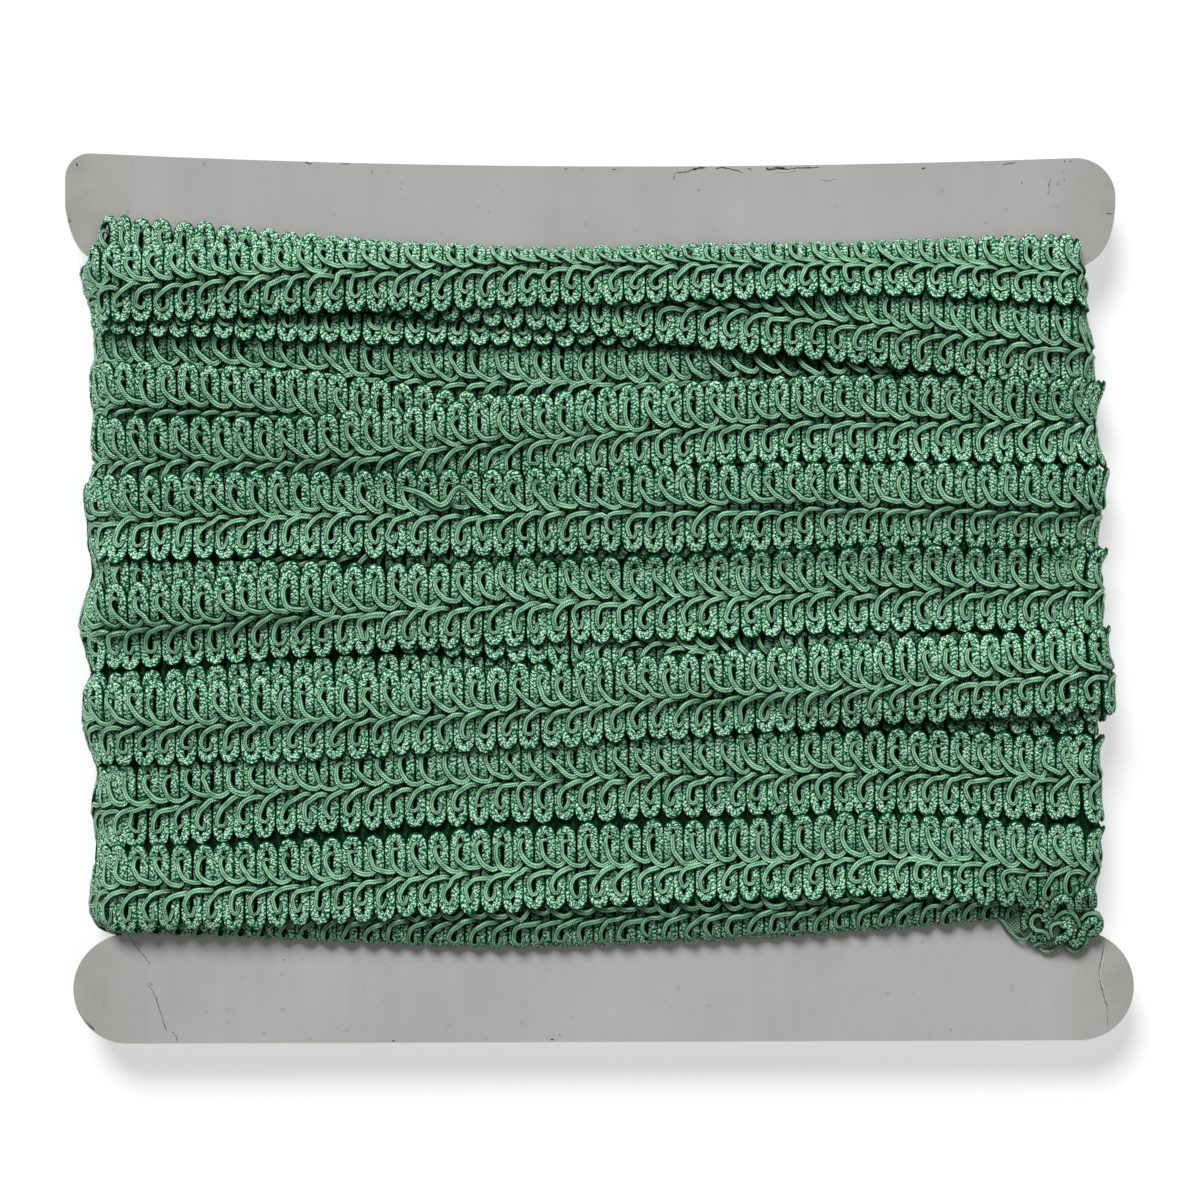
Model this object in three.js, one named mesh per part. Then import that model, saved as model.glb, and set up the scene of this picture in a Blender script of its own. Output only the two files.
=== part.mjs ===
// Gimp braid wound on a flat card.
//
// Millimetres. The card lies flat, its long sides along X, its notched ends at -X and +X, and
// +Z points up, away from the surface that the wound braid rests on. The origin is under the
// middle of the whole part, on that surface.
//
// The braid is wound round the card's waist, between two flanges, in one long strip. The inner
// turns are one packed core. The outer turns lie on it and on each other, and each one shows as
// a raised row. A bunched end of the braid lies on the lower flange.

import * as THREE from 'three';

const DEGREE = Math.PI / 180;

// Clearance between pieces that touch on the real thing
const SEAT_GAP = 0.32;

// Gimp braid: a half-inch strip with a thick spine and scalloped edges
const REACH_ABOVE_SPINE = 6.5;
const REACH_BELOW_SPINE = 6.2;
const EDGE_THICKNESS = 0.95;
const SPINE_THICKNESS = 1.6;
const SPINE_HALF_WIDTH = 3.2;
const EDGE_SQUARENESS = 6;
// How far a spine stays inside the edges of the pack
const SPINE_INSET = 1.0;

// Card
const CARD_THICKNESS = 2.0;
const CARD_MID_HEIGHT = 7.4;
const CARD_TOP_LEFT_Y = 65.4;
const CARD_TOP_RIGHT_Y = 64.7;
const CARD_TOP_PULL = { x: -2.0, y: 61.9 };
const CARD_BOTTOM_LEFT_Y = -65.4;
const TOP_FLANGE_LEFT_X = -78.5;
const TOP_FLANGE_RIGHT_X = 75.8;
const TOP_LEFT_RADIUS = 3.6;
const TOP_RIGHT_RADIUS = 5.8;
const FLANGE_END_RADIUS = 8.0;
const BOTTOM_LEFT_CENTRE_X = -69.3;
const BOTTOM_RIGHT_CENTRE_X = 70.5;
const BOTTOM_RIGHT_CENTRE_Y = -56.9;
const CARD_ARC_DIVISIONS = 10;

// Where the top flange's underside leaves the waist (neck), the point that its curve is drawn
// towards (pull), and where the flange's straight end starts (end)
const TOP_RIGHT_UNDERSIDE = { neckX: 70.2, pullX: 75.4, pullY: 49.6, endY: 58.0 };
const TOP_LEFT_UNDERSIDE = { neckX: -73.8, pullX: -77.4, pullY: 50.2, endY: 57.5 };

// Notches that the braid is wound in, one at each end of the card
const WAIST_MID_X = -0.9;
const WAIST_HALF_WIDTH = 69.25;
const NOTCH_LEFT = { top: 49.8, bottom: -49.4 };
const NOTCH_RIGHT = { top: 48.7, bottom: -48.9 };

// The winding follows a stadium round the waist: two straight faces and two half-round sides
const STRAIGHT_HALF = 68.1;
const INNER_HALF_WIDTH = 1.55;
const INNER_HALF_DEPTH = CARD_THICKNESS / 2 + SEAT_GAP;
const FOOT_HEIGHT = 2.2;
const CORE_DEPTH = 2.5;
const CORE_DEPTH_AT_FOOT = 0.9;

// Divisions of the winding's mesh
const FRONT_STEPS = 30;
const SIDE_STEPS = 12;
const BACK_STEPS = 18;
const FRONT_SPACING = 2 * STRAIGHT_HALF / FRONT_STEPS;
const ACROSS_STEPS = 58;
const FIELD_STEP = 0.5;
const FALL_STEPS = 24;
const FALL_STRAIGHTNESS = 1.4;

// Distances along the front face, from the card's middle, at which the tables give values
const ALONG = [-73, -44, -15, 15, 44, 73];

// Shape of the pack across its width on the front face. foot: where its edge meets the card.
// shoulder: where the fall to that foot begins. height: middle of the outer turns above the
// card's middle plane.
const FRONT_PACK = {
  topFoot: [58.2, 53.8, 51.1, 52.0, 52.1, 54.4],
  topShoulder: [45.0, 45.5, 47.0, 47.5, 48.2, 46.5],
  bottomShoulder: [-43.0, -43.5, -44.0, -43.5, -42.0, -40.0],
  bottomFoot: [-48.7, -49.9, -51.3, -50.3, -48.4, -45.6],
  height: [5.7, 6.4, 6.7, 6.7, 6.4, 5.7],
};
const BACK_PACK = {
  topFoot: 51.5, topShoulder: 46.5, bottomShoulder: -45.5, bottomFoot: -50.5, height: 7.0,
};
const SIDE_PACK = { footInset: 0.9, shoulderInset: 3.2, height: 5.7 };

// Angles away from a face over which the pack takes the side's shape. Its top edge keeps the
// face's width further round, where it lies over the flange.
const SIDE_SHAPE_FROM = 0;
const SIDE_SHAPE_TO = 56;
const TOP_SHAPE_FROM = 18;
const TOP_SHAPE_TO = 58;

// How far the half-round sides stand out past the even turn round the waist, at heights up the
// card, and the angles of the outside between which they come to do so
const SIDE_OUT = {
  height: [-50, -44, -36, -17, -9, -1, 12, 20, 30, 38, 46, 52],
  left: [-1.7, -1.4, 0.5, 0.0, 3.4, -2.0, 1.5, 0.4, -1.0, 0.7, -1.8, 0.8],
  right: [-1.4, -1.2, 2.8, 1.8, 0.8, 3.8, -0.6, 1.5, 0.0, -0.5, -2.0, 0.6],
};
const SIDE_OUT_SPREAD = 4.0;
const SIDE_OUT_START_ANGLE = 72;
const SIDE_OUT_FULL_ANGLE = 26;

// The outer turns in the order they lie, the lowest in the stack first. spine: height of the
// turn's middle line up the front face, at the distances in ALONG.
const TURNS = [
  { name: 'lowest', spine: [-45.9, -46.9, -47.5, -46.3, -44.9, -43.4] },
  { name: 'under_eighth', spine: [2.5, 5.0, 10.5, 12.0, 13.0, 13.0] },
  { name: 'under_tenth', spine: [-17.8, -15.2, -14.3, -14.0, -13.5, -14.0] },
  { name: 'under_ninth', spine: [-0.2, -1.0, -2.6, -7.5, -11.5, -12.0] },
  { name: 'fourth', spine: [34.5, 33.1, 31.0, 31.8, 32.8, 32.5] },
  { name: 'second', spine: [43.6, 42.4, 41.7, 41.7, 41.8, 41.5] },
  { name: 'slanting', spine: [50.0, 48.3, 45.6, 42.3, 39.1, 35.8] },
  { name: 'first', spine: [45.1, 46.5, 47.3, 48.2, 49.4, 47.4] },
  { name: 'fifth', spine: [28.1, 26.9, 23.0, 21.0, 19.5, 18.5] },
  { name: 'sixth', spine: [19.9, 19.9, 22.3, 25.2, 25.9, 25.3] },
  { name: 'seventh', spine: [11.2, 12.0, 12.2, 12.9, 13.4, 12.6] },
  { name: 'eighth', spine: [-4.8, -2.6, -0.8, 0.0, 1.3, 0.8] },
  { name: 'tenth', spine: [-31.2, -28.3, -26.7, -25.9, -25.3, -26.6] },
  { name: 'ninth', spine: [-18.8, -18.0, -16.4, -14.5, -12.5, -10.7] },
  { name: 'eleventh', spine: [-42.8, -41.8, -39.9, -38.6, -37.3, -40.0] },
];

// The bunched end: a strip folded back and forth, standing on the lower flange. One row a fold:
// its height above the card and how far its edge reaches down the card.
const TAIL_START_X = 56.9;
const TAIL_FOLD_SPACING = 1.5;
const TAIL_THICKNESS = 1.1;
const TAIL_ARC_STEPS = 6;
const TAIL_ACROSS_STEPS = 6;
const TAIL_FOLDS = [
  { crest: 3.1, edge: -48.6 },
  { crest: 4.3, edge: -50.4 },
  { crest: 3.8, edge: -51.4 },
  { crest: 4.5, edge: -51.6 },
];

function smoothShare(value, from, to) {
  const share = Math.min(Math.max((value - from) / (to - from), 0), 1);
  return share * share * (3 - 2 * share);
}

function mix(a, b, share) {
  return a + (b - a) * share;
}

// A value read off a table: ys at the rising xs, straight between them and level beyond them.
function readTable(xs, ys, x) {
  if (x <= xs[0]) return ys[0];
  for (let i = 1; i < xs.length; i += 1) {
    if (x <= xs[i]) return mix(ys[i - 1], ys[i], (x - xs[i - 1]) / (xs[i] - xs[i - 1]));
  }
  return ys[ys.length - 1];
}

// The same table with its corners rounded, by the mean of readings close to x.
const ROUNDING_REACH = 9;
function readSmooth(ys, x) {
  const offsets = [-1, -0.5, 0, 0.5, 1];
  const sum = offsets.reduce((total, o) => total + readTable(ALONG, ys, x + o * ROUNDING_REACH), 0);
  return sum / offsets.length;
}

// Stations round the waist. angle: direction of the winding's outside in the XZ plane, 90 degrees
// on the front and -90 on the back. back: share of the way along a back pass, from the right side,
// with a small part of it on each half-round side.
const BACK_SHARE_ON_SIDE = 0.06;
function makeStations() {
  const stations = [];
  for (let i = 0; i < FRONT_STEPS; i += 1) {
    const x = mix(-STRAIGHT_HALF, STRAIGHT_HALF, i / FRONT_STEPS);
    stations.push({ face: 'front', side: 0, centreX: x, angle: 90, along: x, back: 0 });
  }
  for (let i = 0; i < SIDE_STEPS; i += 1) {
    const angle = 90 - 180 * i / SIDE_STEPS;
    const along = STRAIGHT_HALF + (90 - Math.max(angle, 0)) * DEGREE * SIDE_PACK.height;
    const back = Math.max(-angle, 0) / 90 * BACK_SHARE_ON_SIDE;
    stations.push({ face: 'side', side: 1, centreX: STRAIGHT_HALF, angle, along, back });
  }
  for (let i = 0; i < BACK_STEPS; i += 1) {
    const share = i / BACK_STEPS;
    const x = mix(STRAIGHT_HALF, -STRAIGHT_HALF, share);
    const back = mix(BACK_SHARE_ON_SIDE, 1 - BACK_SHARE_ON_SIDE, share);
    stations.push({ face: 'back', side: 0, centreX: x, angle: -90, along: x, back });
  }
  for (let i = 0; i < SIDE_STEPS; i += 1) {
    const turned = -90 + 180 * i / SIDE_STEPS;
    const along = -STRAIGHT_HALF - (90 - Math.max(turned, 0)) * DEGREE * SIDE_PACK.height;
    const back = turned < 0 ? 1 + turned / 90 * BACK_SHARE_ON_SIDE : 0;
    stations.push({ face: 'side', side: -1, centreX: -STRAIGHT_HALF, angle: turned, along, back });
  }
  return stations;
}

// The pack's outline across its width at a station: mixed from the face's own shape to that of
// the half-round side, which stays inside the notch.
function packAt(station) {
  const onFront = station.angle > 0 || station.face === 'front';
  const face = {};
  Object.keys(BACK_PACK).forEach((key) => {
    face[key] = onFront ? readSmooth(FRONT_PACK[key], station.along) : BACK_PACK[key];
  });
  if (station.side === 0) return face;
  const notch = station.side > 0 ? NOTCH_RIGHT : NOTCH_LEFT;
  const inNotch = {
    topFoot: notch.top - SIDE_PACK.footInset,
    topShoulder: notch.top - SIDE_PACK.shoulderInset,
    bottomShoulder: notch.bottom + SIDE_PACK.shoulderInset,
    bottomFoot: notch.bottom + SIDE_PACK.footInset,
    height: SIDE_PACK.height,
  };
  const away = 90 - Math.abs(station.angle);
  const share = smoothShare(away, SIDE_SHAPE_FROM, SIDE_SHAPE_TO);
  const topShare = smoothShare(away, TOP_SHAPE_FROM, TOP_SHAPE_TO);
  const mixed = {};
  Object.keys(face).forEach((key) => {
    mixed[key] = mix(face[key], inNotch[key], key === 'topFoot' ? topShare : share);
  });
  return mixed;
}

// The line across the pack that the outer turns are centred on, as points a field step apart:
// y up the card, height from the card's middle plane, and the outward direction there. A quarter
// of a superellipse at each edge falls from the shoulder to the foot.
function profileAt(station) {
  const pack = packAt(station);
  const drop = pack.height - FOOT_HEIGHT;
  const fall = (shoulder, foot, i) => {
    const turn = 90 * DEGREE * i / FALL_STEPS;
    const outShare = Math.sin(turn) ** FALL_STRAIGHTNESS;
    const downShare = 1 - Math.max(Math.cos(turn), 0) ** FALL_STRAIGHTNESS;
    return [mix(shoulder, foot, outShare), pack.height - drop * downShare];
  };
  const rough = [];
  for (let i = FALL_STEPS; i >= 0; i -= 1) {
    rough.push(fall(pack.bottomShoulder, pack.bottomFoot, i));
  }
  for (let i = 0; i <= FALL_STEPS; i += 1) {
    rough.push(fall(pack.topShoulder, pack.topFoot, i));
  }
  const lengths = [0];
  for (let i = 1; i < rough.length; i += 1) {
    const step = Math.hypot(rough[i][0] - rough[i - 1][0], rough[i][1] - rough[i - 1][1]);
    lengths.push(lengths[i - 1] + step);
  }
  const total = lengths[lengths.length - 1];
  const count = Math.round(total / FIELD_STEP);
  const ys = rough.map((point) => point[0]);
  const heights = rough.map((point) => point[1]);
  const points = [];
  for (let i = 0; i <= count; i += 1) {
    const arc = total * i / count;
    points.push({ arc, y: readTable(lengths, ys, arc), height: readTable(lengths, heights, arc) });
  }
  points.forEach((point, i) => {
    const before = points[Math.max(i - 1, 0)];
    const after = points[Math.min(i + 1, count)];
    const span = Math.hypot(after.y - before.y, after.height - before.height);
    point.outY = -(after.height - before.height) / span;
    point.outHeight = (after.y - before.y) / span;
  });
  return { points, total, pack };
}

// Where each turn's spine is at a station. A back pass leads from a turn's right end to the left
// end of the turn next below it.
function spineHeights(station) {
  const last = ALONG.length - 1;
  const fronts = TURNS.map((turn) => readSmooth(turn.spine, station.along));
  if (station.angle >= 0) return fronts;
  const rights = TURNS.map((turn) => turn.spine[last]).sort((a, b) => b - a);
  const lefts = TURNS.map((turn) => turn.spine[0]).sort((a, b) => b - a);
  return TURNS.map((turn) => {
    const rank = rights.indexOf(turn.spine[last]);
    const landing = lefts[Math.min(rank + 1, lefts.length - 1)];
    return mix(turn.spine[last], landing, smoothShare(station.back, 0, 1));
  });
}

// A field's values up to reach places away from each place, its own end values past its ends.
function windows(field, reach) {
  return [...field.keys()].map((i) => {
    const near = [];
    for (let j = i - reach; j <= i + reach; j += 1) {
      near.push(field[Math.min(Math.max(j, 0), field.length - 1)]);
    }
    return near;
  });
}

function meanOf(values) {
  return values.reduce((sum, value) => sum + value, 0) / values.length;
}

// Heights of the wound braid over a station's profile. Each turn is draped over what lies under
// it, bridging hollows narrower than itself, and raises the surface by its own thickness.
const DRAPE_REACH = 2;
function layTurns(station, profile) {
  const { points, total, pack } = profile;
  const field = points.map((point) => {
    const nearEdge = Math.min(point.arc, total - point.arc);
    return -mix(CORE_DEPTH_AT_FOOT, CORE_DEPTH, smoothShare(nearEdge, 0, REACH_ABOVE_SPINE));
  });
  const ys = points.map((point) => point.y);
  const arcs = points.map((point) => point.arc);
  const lowest = pack.bottomFoot;
  const highest = pack.topFoot;
  spineHeights(station).forEach((spineY) => {
    const held = Math.min(Math.max(spineY, lowest + SPINE_INSET), highest - SPINE_INSET);
    const centre = readTable(ys, arcs, held);
    const bridged = windows(field, DRAPE_REACH).map((near) => Math.max(...near));
    const draped = windows(bridged, DRAPE_REACH).map(meanOf);
    points.forEach((point, i) => {
      const across = point.arc - centre;
      if (across > REACH_ABOVE_SPINE || across < -REACH_BELOW_SPINE) return;
      const reach = across > 0 ? REACH_ABOVE_SPINE : REACH_BELOW_SPINE;
      const bulge = Math.exp(-((across / SPINE_HALF_WIDTH) ** 2));
      const squared = (Math.abs(across) / reach) ** EDGE_SQUARENESS;
      const rounded = Math.sqrt(Math.max(1 - squared, 0));
      const thickness = mix(EDGE_THICKNESS, SPINE_THICKNESS, bulge) * rounded;
      field[i] = Math.max(field[i], draped[i] + thickness);
    });
  });
  return field;
}

// Mean of the field round an arc length, over one division of the mesh.
function readField(field, arc) {
  const middle = arc / FIELD_STEP;
  const offsets = [-1, 0, 1];
  const sum = offsets.reduce((whole, offset) => {
    const index = Math.min(Math.max(Math.round(middle + offset), 0), field.length - 1);
    return whole + field[index];
  }, 0);
  return sum / offsets.length;
}

// A point round the waist: radius from the stadium's middle line, in the station's direction.
function placeRound(station, y, radius) {
  const turn = station.angle * DEGREE;
  const outward = station.side === 0 ? 0 : station.side * Math.cos(turn);
  return new THREE.Vector3(
    WAIST_MID_X + station.centreX + outward * radius,
    y,
    CARD_MID_HEIGHT + Math.sin(turn) * radius,
  );
}

function notchLimits(station) {
  const notch = station.side > 0 ? NOTCH_RIGHT : NOTCH_LEFT;
  return { low: notch.bottom + SEAT_GAP, high: notch.top - SEAT_GAP };
}

// Radius of the sleeve's inside, a rectangle round the waist's edge.
function innerRadius(station) {
  const turn = station.angle * DEGREE;
  const steep = Math.abs(Math.sin(turn)) / INNER_HALF_DEPTH;
  const flat = station.side === 0 ? 0 : Math.abs(Math.cos(turn)) / INNER_HALF_WIDTH;
  return 1 / Math.max(steep, flat);
}

// How far a point of a half-round side stands out, with the table's corners rounded.
function standsOut(station, y) {
  if (station.side === 0) return 0;
  const column = station.side > 0 ? SIDE_OUT.right : SIDE_OUT.left;
  const near = [-SIDE_OUT_SPREAD, 0, SIDE_OUT_SPREAD];
  const out = meanOf(near.map((shift) => readTable(SIDE_OUT.height, column, y + shift)));
  return out * smoothShare(-Math.abs(station.angle), -SIDE_OUT_START_ANGLE, -SIDE_OUT_FULL_ANGLE);
}

// One ring of the sleeve's section at a station: the outside from the bottom edge to the top
// edge, and then the two edges of the inside.
const FREE_ANGLE = 70;
const OVER_FLANGE_ANGLE = 50;
function sectionAt(station) {
  const profile = profileAt(station);
  const field = layTurns(station, profile);
  const arcs = profile.points.map((point) => point.arc);
  const column = (key) => profile.points.map((point) => point[key]);
  const limits = notchLimits(station);
  const steepness = Math.abs(station.angle);
  const held = steepness < OVER_FLANGE_ANGLE;
  const ring = [];
  for (let j = 0; j <= ACROSS_STEPS; j += 1) {
    const arc = profile.total * j / ACROSS_STEPS;
    const rise = readField(field, arc);
    let y = readTable(arcs, column('y'), arc) + readTable(arcs, column('outY'), arc) * rise;
    const height = readTable(arcs, column('height'), arc);
    const radius = height + readTable(arcs, column('outHeight'), arc) * rise;
    if (held) y = Math.min(Math.max(y, limits.low), limits.high);
    ring.push(placeRound(station, y, Math.max(radius + standsOut(station, y), FOOT_HEIGHT)));
  }
  const innerEdge = (edgeY) => {
    if (steepness > FREE_ANGLE) return edgeY;
    return Math.min(Math.max(edgeY, limits.low), limits.high);
  };
  const top = innerEdge(ring[ACROSS_STEPS].y);
  const bottom = innerEdge(ring[0].y);
  ring.push(placeRound(station, top, innerRadius(station)));
  ring.push(placeRound(station, bottom, innerRadius(station)));
  return ring;
}

// A closed mesh from vertices and triangles, with its faces turned outwards.
function closedGeometry(vertices, triangles) {
  let volume = 0;
  triangles.forEach(([a, b, c]) => {
    volume += vertices[a].dot(new THREE.Vector3().crossVectors(vertices[b], vertices[c])) / 6;
  });
  const ordered = volume < 0 ? triangles.map(([a, b, c]) => [a, c, b]) : triangles;
  const geometry = new THREE.BufferGeometry().setFromPoints(vertices);
  geometry.setIndex(ordered.flat());
  geometry.computeVertexNormals();
  return geometry;
}

// Rows smoothed along the winding, so that a turn's ridge runs evenly from station to station.
// A larger bend than the limit is the pack's own shape and stays.
const BEND_LIMIT = 1.5;
const EVENING_SHARE = 0.25;
function smoothAlong(rings) {
  const count = rings.length;
  return rings.map((ring, i) => ring.map((point, j) => {
    if (j > ACROSS_STEPS) return point;
    const before = rings[(i + count - 1) % count][j];
    const after = rings[(i + 1) % count][j];
    const bend = before.z + after.z - 2 * point.z;
    const steady = Math.abs(bend) < BEND_LIMIT ? bend * EVENING_SHARE : 0;
    return new THREE.Vector3(point.x, point.y, point.z + steady);
  }));
}

// The back rests on a surface, which flattens what would reach past it.
function restOnSurface(rings) {
  rings.forEach((ring) => ring.forEach((point) => {
    point.z = Math.max(point.z, 0);
  }));
}

// All the rings of the winding, round the waist from the left end of the front face.
function windingRings() {
  const rings = smoothAlong(makeStations().map(sectionAt));
  restOnSurface(rings);
  return rings;
}

function windingGeometry(rings) {
  const ringSize = rings[0].length;
  const vertices = rings.flat();
  const triangles = [];
  for (let i = 0; i < rings.length; i += 1) {
    const here = i * ringSize;
    const next = ((i + 1) % rings.length) * ringSize;
    for (let j = 0; j < ringSize; j += 1) {
      const k = (j + 1) % ringSize;
      triangles.push([here + j, next + j, next + k]);
      triangles.push([here + j, next + k, here + k]);
    }
  }
  return closedGeometry(vertices, triangles);
}

// Outline of the card: two flanges joined by a waist, with rounded ends and a slightly dipped top.
function cardGeometry() {
  const waistLeft = WAIST_MID_X - WAIST_HALF_WIDTH;
  const waistRight = WAIST_MID_X + WAIST_HALF_WIDTH;
  const right = TOP_RIGHT_UNDERSIDE;
  const left = TOP_LEFT_UNDERSIDE;
  const outline = new THREE.Shape();
  outline.moveTo(waistRight, NOTCH_RIGHT.top);
  outline.lineTo(right.neckX, NOTCH_RIGHT.top);
  outline.quadraticCurveTo(right.pullX, right.pullY, TOP_FLANGE_RIGHT_X, right.endY);
  outline.lineTo(TOP_FLANGE_RIGHT_X, CARD_TOP_RIGHT_Y - TOP_RIGHT_RADIUS);
  outline.absarc(
    TOP_FLANGE_RIGHT_X - TOP_RIGHT_RADIUS, CARD_TOP_RIGHT_Y - TOP_RIGHT_RADIUS,
    TOP_RIGHT_RADIUS, 0, 90 * DEGREE, false,
  );
  outline.quadraticCurveTo(
    CARD_TOP_PULL.x, CARD_TOP_PULL.y, TOP_FLANGE_LEFT_X + TOP_LEFT_RADIUS, CARD_TOP_LEFT_Y,
  );
  outline.absarc(
    TOP_FLANGE_LEFT_X + TOP_LEFT_RADIUS, CARD_TOP_LEFT_Y - TOP_LEFT_RADIUS,
    TOP_LEFT_RADIUS, 90 * DEGREE, 180 * DEGREE, false,
  );
  outline.lineTo(TOP_FLANGE_LEFT_X, left.endY);
  outline.quadraticCurveTo(left.pullX, left.pullY, left.neckX, NOTCH_LEFT.top);
  outline.lineTo(waistLeft, NOTCH_LEFT.top);
  const leftCentreY = CARD_BOTTOM_LEFT_Y + FLANGE_END_RADIUS;
  const leftStart = Math.acos((waistLeft - BOTTOM_LEFT_CENTRE_X) / FLANGE_END_RADIUS);
  outline.lineTo(waistLeft, leftCentreY + FLANGE_END_RADIUS * Math.sin(leftStart));
  outline.absarc(
    BOTTOM_LEFT_CENTRE_X, leftCentreY, FLANGE_END_RADIUS, leftStart, 270 * DEGREE, false,
  );
  outline.lineTo(BOTTOM_RIGHT_CENTRE_X, BOTTOM_RIGHT_CENTRE_Y - FLANGE_END_RADIUS);
  outline.absarc(
    BOTTOM_RIGHT_CENTRE_X, BOTTOM_RIGHT_CENTRE_Y, FLANGE_END_RADIUS, -90 * DEGREE, 90 * DEGREE, false,
  );
  outline.lineTo(waistRight, BOTTOM_RIGHT_CENTRE_Y + FLANGE_END_RADIUS);
  outline.closePath();
  return new THREE.ExtrudeGeometry(outline, {
    depth: CARD_THICKNESS, bevelEnabled: false, curveSegments: CARD_ARC_DIVISIONS,
  });
}

// Centre line of the folded end in the XZ plane, with its direction, and the reach of each point.
function tailPath() {
  const radius = TAIL_FOLD_SPACING / 2;
  const floor = CARD_MID_HEIGHT + CARD_THICKNESS / 2 + SEAT_GAP;
  const low = floor + TAIL_THICKNESS / 2 + radius;
  const path = [];
  TAIL_FOLDS.forEach((fold, k) => {
    const upX = TAIL_START_X + 2 * k * TAIL_FOLD_SPACING;
    const downX = upX + TAIL_FOLD_SPACING;
    const high = floor + fold.crest - TAIL_THICKNESS / 2 - radius;
    path.push({ x: upX, z: low, turn: 90, edge: fold.edge });
    for (let i = 0; i <= TAIL_ARC_STEPS; i += 1) {
      const turn = 180 - 180 * i / TAIL_ARC_STEPS;
      path.push({
        x: upX + radius + radius * Math.cos(turn * DEGREE),
        z: high + radius * Math.sin(turn * DEGREE),
        turn: turn - 90,
        edge: fold.edge,
      });
    }
    if (k === TAIL_FOLDS.length - 1) {
      path.push({ x: downX, z: low, turn: -90, edge: fold.edge });
      return;
    }
    const nextEdge = TAIL_FOLDS[k + 1].edge;
    for (let i = 0; i < TAIL_ARC_STEPS; i += 1) {
      const turn = 180 + 180 * i / TAIL_ARC_STEPS;
      path.push({
        x: downX + radius + radius * Math.cos(turn * DEGREE),
        z: low + radius * Math.sin(turn * DEGREE),
        turn: turn + 90,
        edge: mix(fold.edge, nextEdge, i / TAIL_ARC_STEPS),
      });
    }
  });
  return path;
}

// The lower edge of the wound braid in front of the card, close to x.
function lowerEdgeNear(windingRound, x) {
  let lowest = 0;
  windingRound.flat().forEach((point) => {
    const close = Math.abs(point.x - x) < FRONT_SPACING && point.z > CARD_MID_HEIGHT;
    if (close) lowest = Math.min(lowest, point.y);
  });
  return lowest;
}

// The folded end as one closed strip: two grids half a thickness either side of the centre line.
// It starts beside the wound braid's lower edge.
function tailGeometry(windingRound) {
  const path = tailPath();
  const rings = path.map(({ x, z, turn, edge }) => {
    const start = lowerEdgeNear(windingRound, x) - SEAT_GAP;
    const outX = -Math.sin(turn * DEGREE) * TAIL_THICKNESS / 2;
    const outZ = Math.cos(turn * DEGREE) * TAIL_THICKNESS / 2;
    const ring = [];
    for (let j = 0; j <= TAIL_ACROSS_STEPS; j += 1) {
      const y = mix(start, edge, j / TAIL_ACROSS_STEPS);
      ring.push(new THREE.Vector3(x + outX, y, z + outZ));
    }
    for (let j = TAIL_ACROSS_STEPS; j >= 0; j -= 1) {
      const y = mix(start, edge, j / TAIL_ACROSS_STEPS);
      ring.push(new THREE.Vector3(x - outX, y, z - outZ));
    }
    return ring;
  });
  const ringSize = rings[0].length;
  const vertices = rings.flat();
  const triangles = [];
  for (let i = 0; i + 1 < rings.length; i += 1) {
    for (let j = 0; j < ringSize; j += 1) {
      const k = (j + 1) % ringSize;
      const here = i * ringSize;
      const next = here + ringSize;
      triangles.push([here + j, next + j, next + k]);
      triangles.push([here + j, next + k, here + k]);
    }
  }
  [[0, false], [(rings.length - 1) * ringSize, true]].forEach(([base, flip]) => {
    for (let j = 0; j < TAIL_ACROSS_STEPS; j += 1) {
      const a = base + j;
      const b = base + j + 1;
      const c = base + ringSize - 2 - j;
      const d = base + ringSize - 1 - j;
      const quad = [[a, b, c], [a, c, d]];
      quad.forEach(([p, q, r]) => triangles.push(flip ? [p, r, q] : [p, q, r]));
    }
  });
  return closedGeometry(vertices, triangles);
}

const BOARD_GREY = 0xb0b1ae;
const BRAID_GREEN = 0x4a7259;
const DULL_GREEN = 0x436b52;

function plainMaterial(color, roughness) {
  return new THREE.MeshStandardMaterial({ color, roughness, metalness: 0 });
}

const braidOnCard = new THREE.Group();

const card = new THREE.Mesh(cardGeometry(), plainMaterial(BOARD_GREY, 0.75));
card.name = 'card';
card.position.z = CARD_MID_HEIGHT - CARD_THICKNESS / 2;
braidOnCard.add(card);

const rings = windingRings();
const winding = new THREE.Mesh(windingGeometry(rings), plainMaterial(BRAID_GREEN, 0.6));
winding.name = 'braid_winding';
braidOnCard.add(winding);

const tail = new THREE.Mesh(tailGeometry(rings), plainMaterial(DULL_GREEN, 0.6));
tail.name = 'braid_tail';
braidOnCard.add(tail);

export default braidOnCard;
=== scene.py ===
import math
from collections import namedtuple

import bpy
import numpy as np
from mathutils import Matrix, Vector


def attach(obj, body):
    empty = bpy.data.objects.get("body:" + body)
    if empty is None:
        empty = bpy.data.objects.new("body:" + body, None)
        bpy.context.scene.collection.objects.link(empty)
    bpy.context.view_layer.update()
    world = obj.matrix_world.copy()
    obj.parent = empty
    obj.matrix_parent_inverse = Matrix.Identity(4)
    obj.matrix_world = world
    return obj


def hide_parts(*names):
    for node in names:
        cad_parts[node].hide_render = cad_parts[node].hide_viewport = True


# Looks of a scroll gimp braid wound in overlapping rows on a flat notched card.
# The tables hold millimetres. Every mesh is turned into metres when it is made.

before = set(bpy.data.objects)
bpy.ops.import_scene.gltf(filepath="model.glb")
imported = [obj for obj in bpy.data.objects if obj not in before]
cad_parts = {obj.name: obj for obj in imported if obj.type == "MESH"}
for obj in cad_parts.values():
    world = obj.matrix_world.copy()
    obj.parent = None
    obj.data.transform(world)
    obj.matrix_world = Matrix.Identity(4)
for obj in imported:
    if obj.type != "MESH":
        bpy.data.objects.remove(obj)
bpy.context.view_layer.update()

MM = 0.001
TAU = 2 * math.pi
rng = np.random.default_rng(7)

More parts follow.
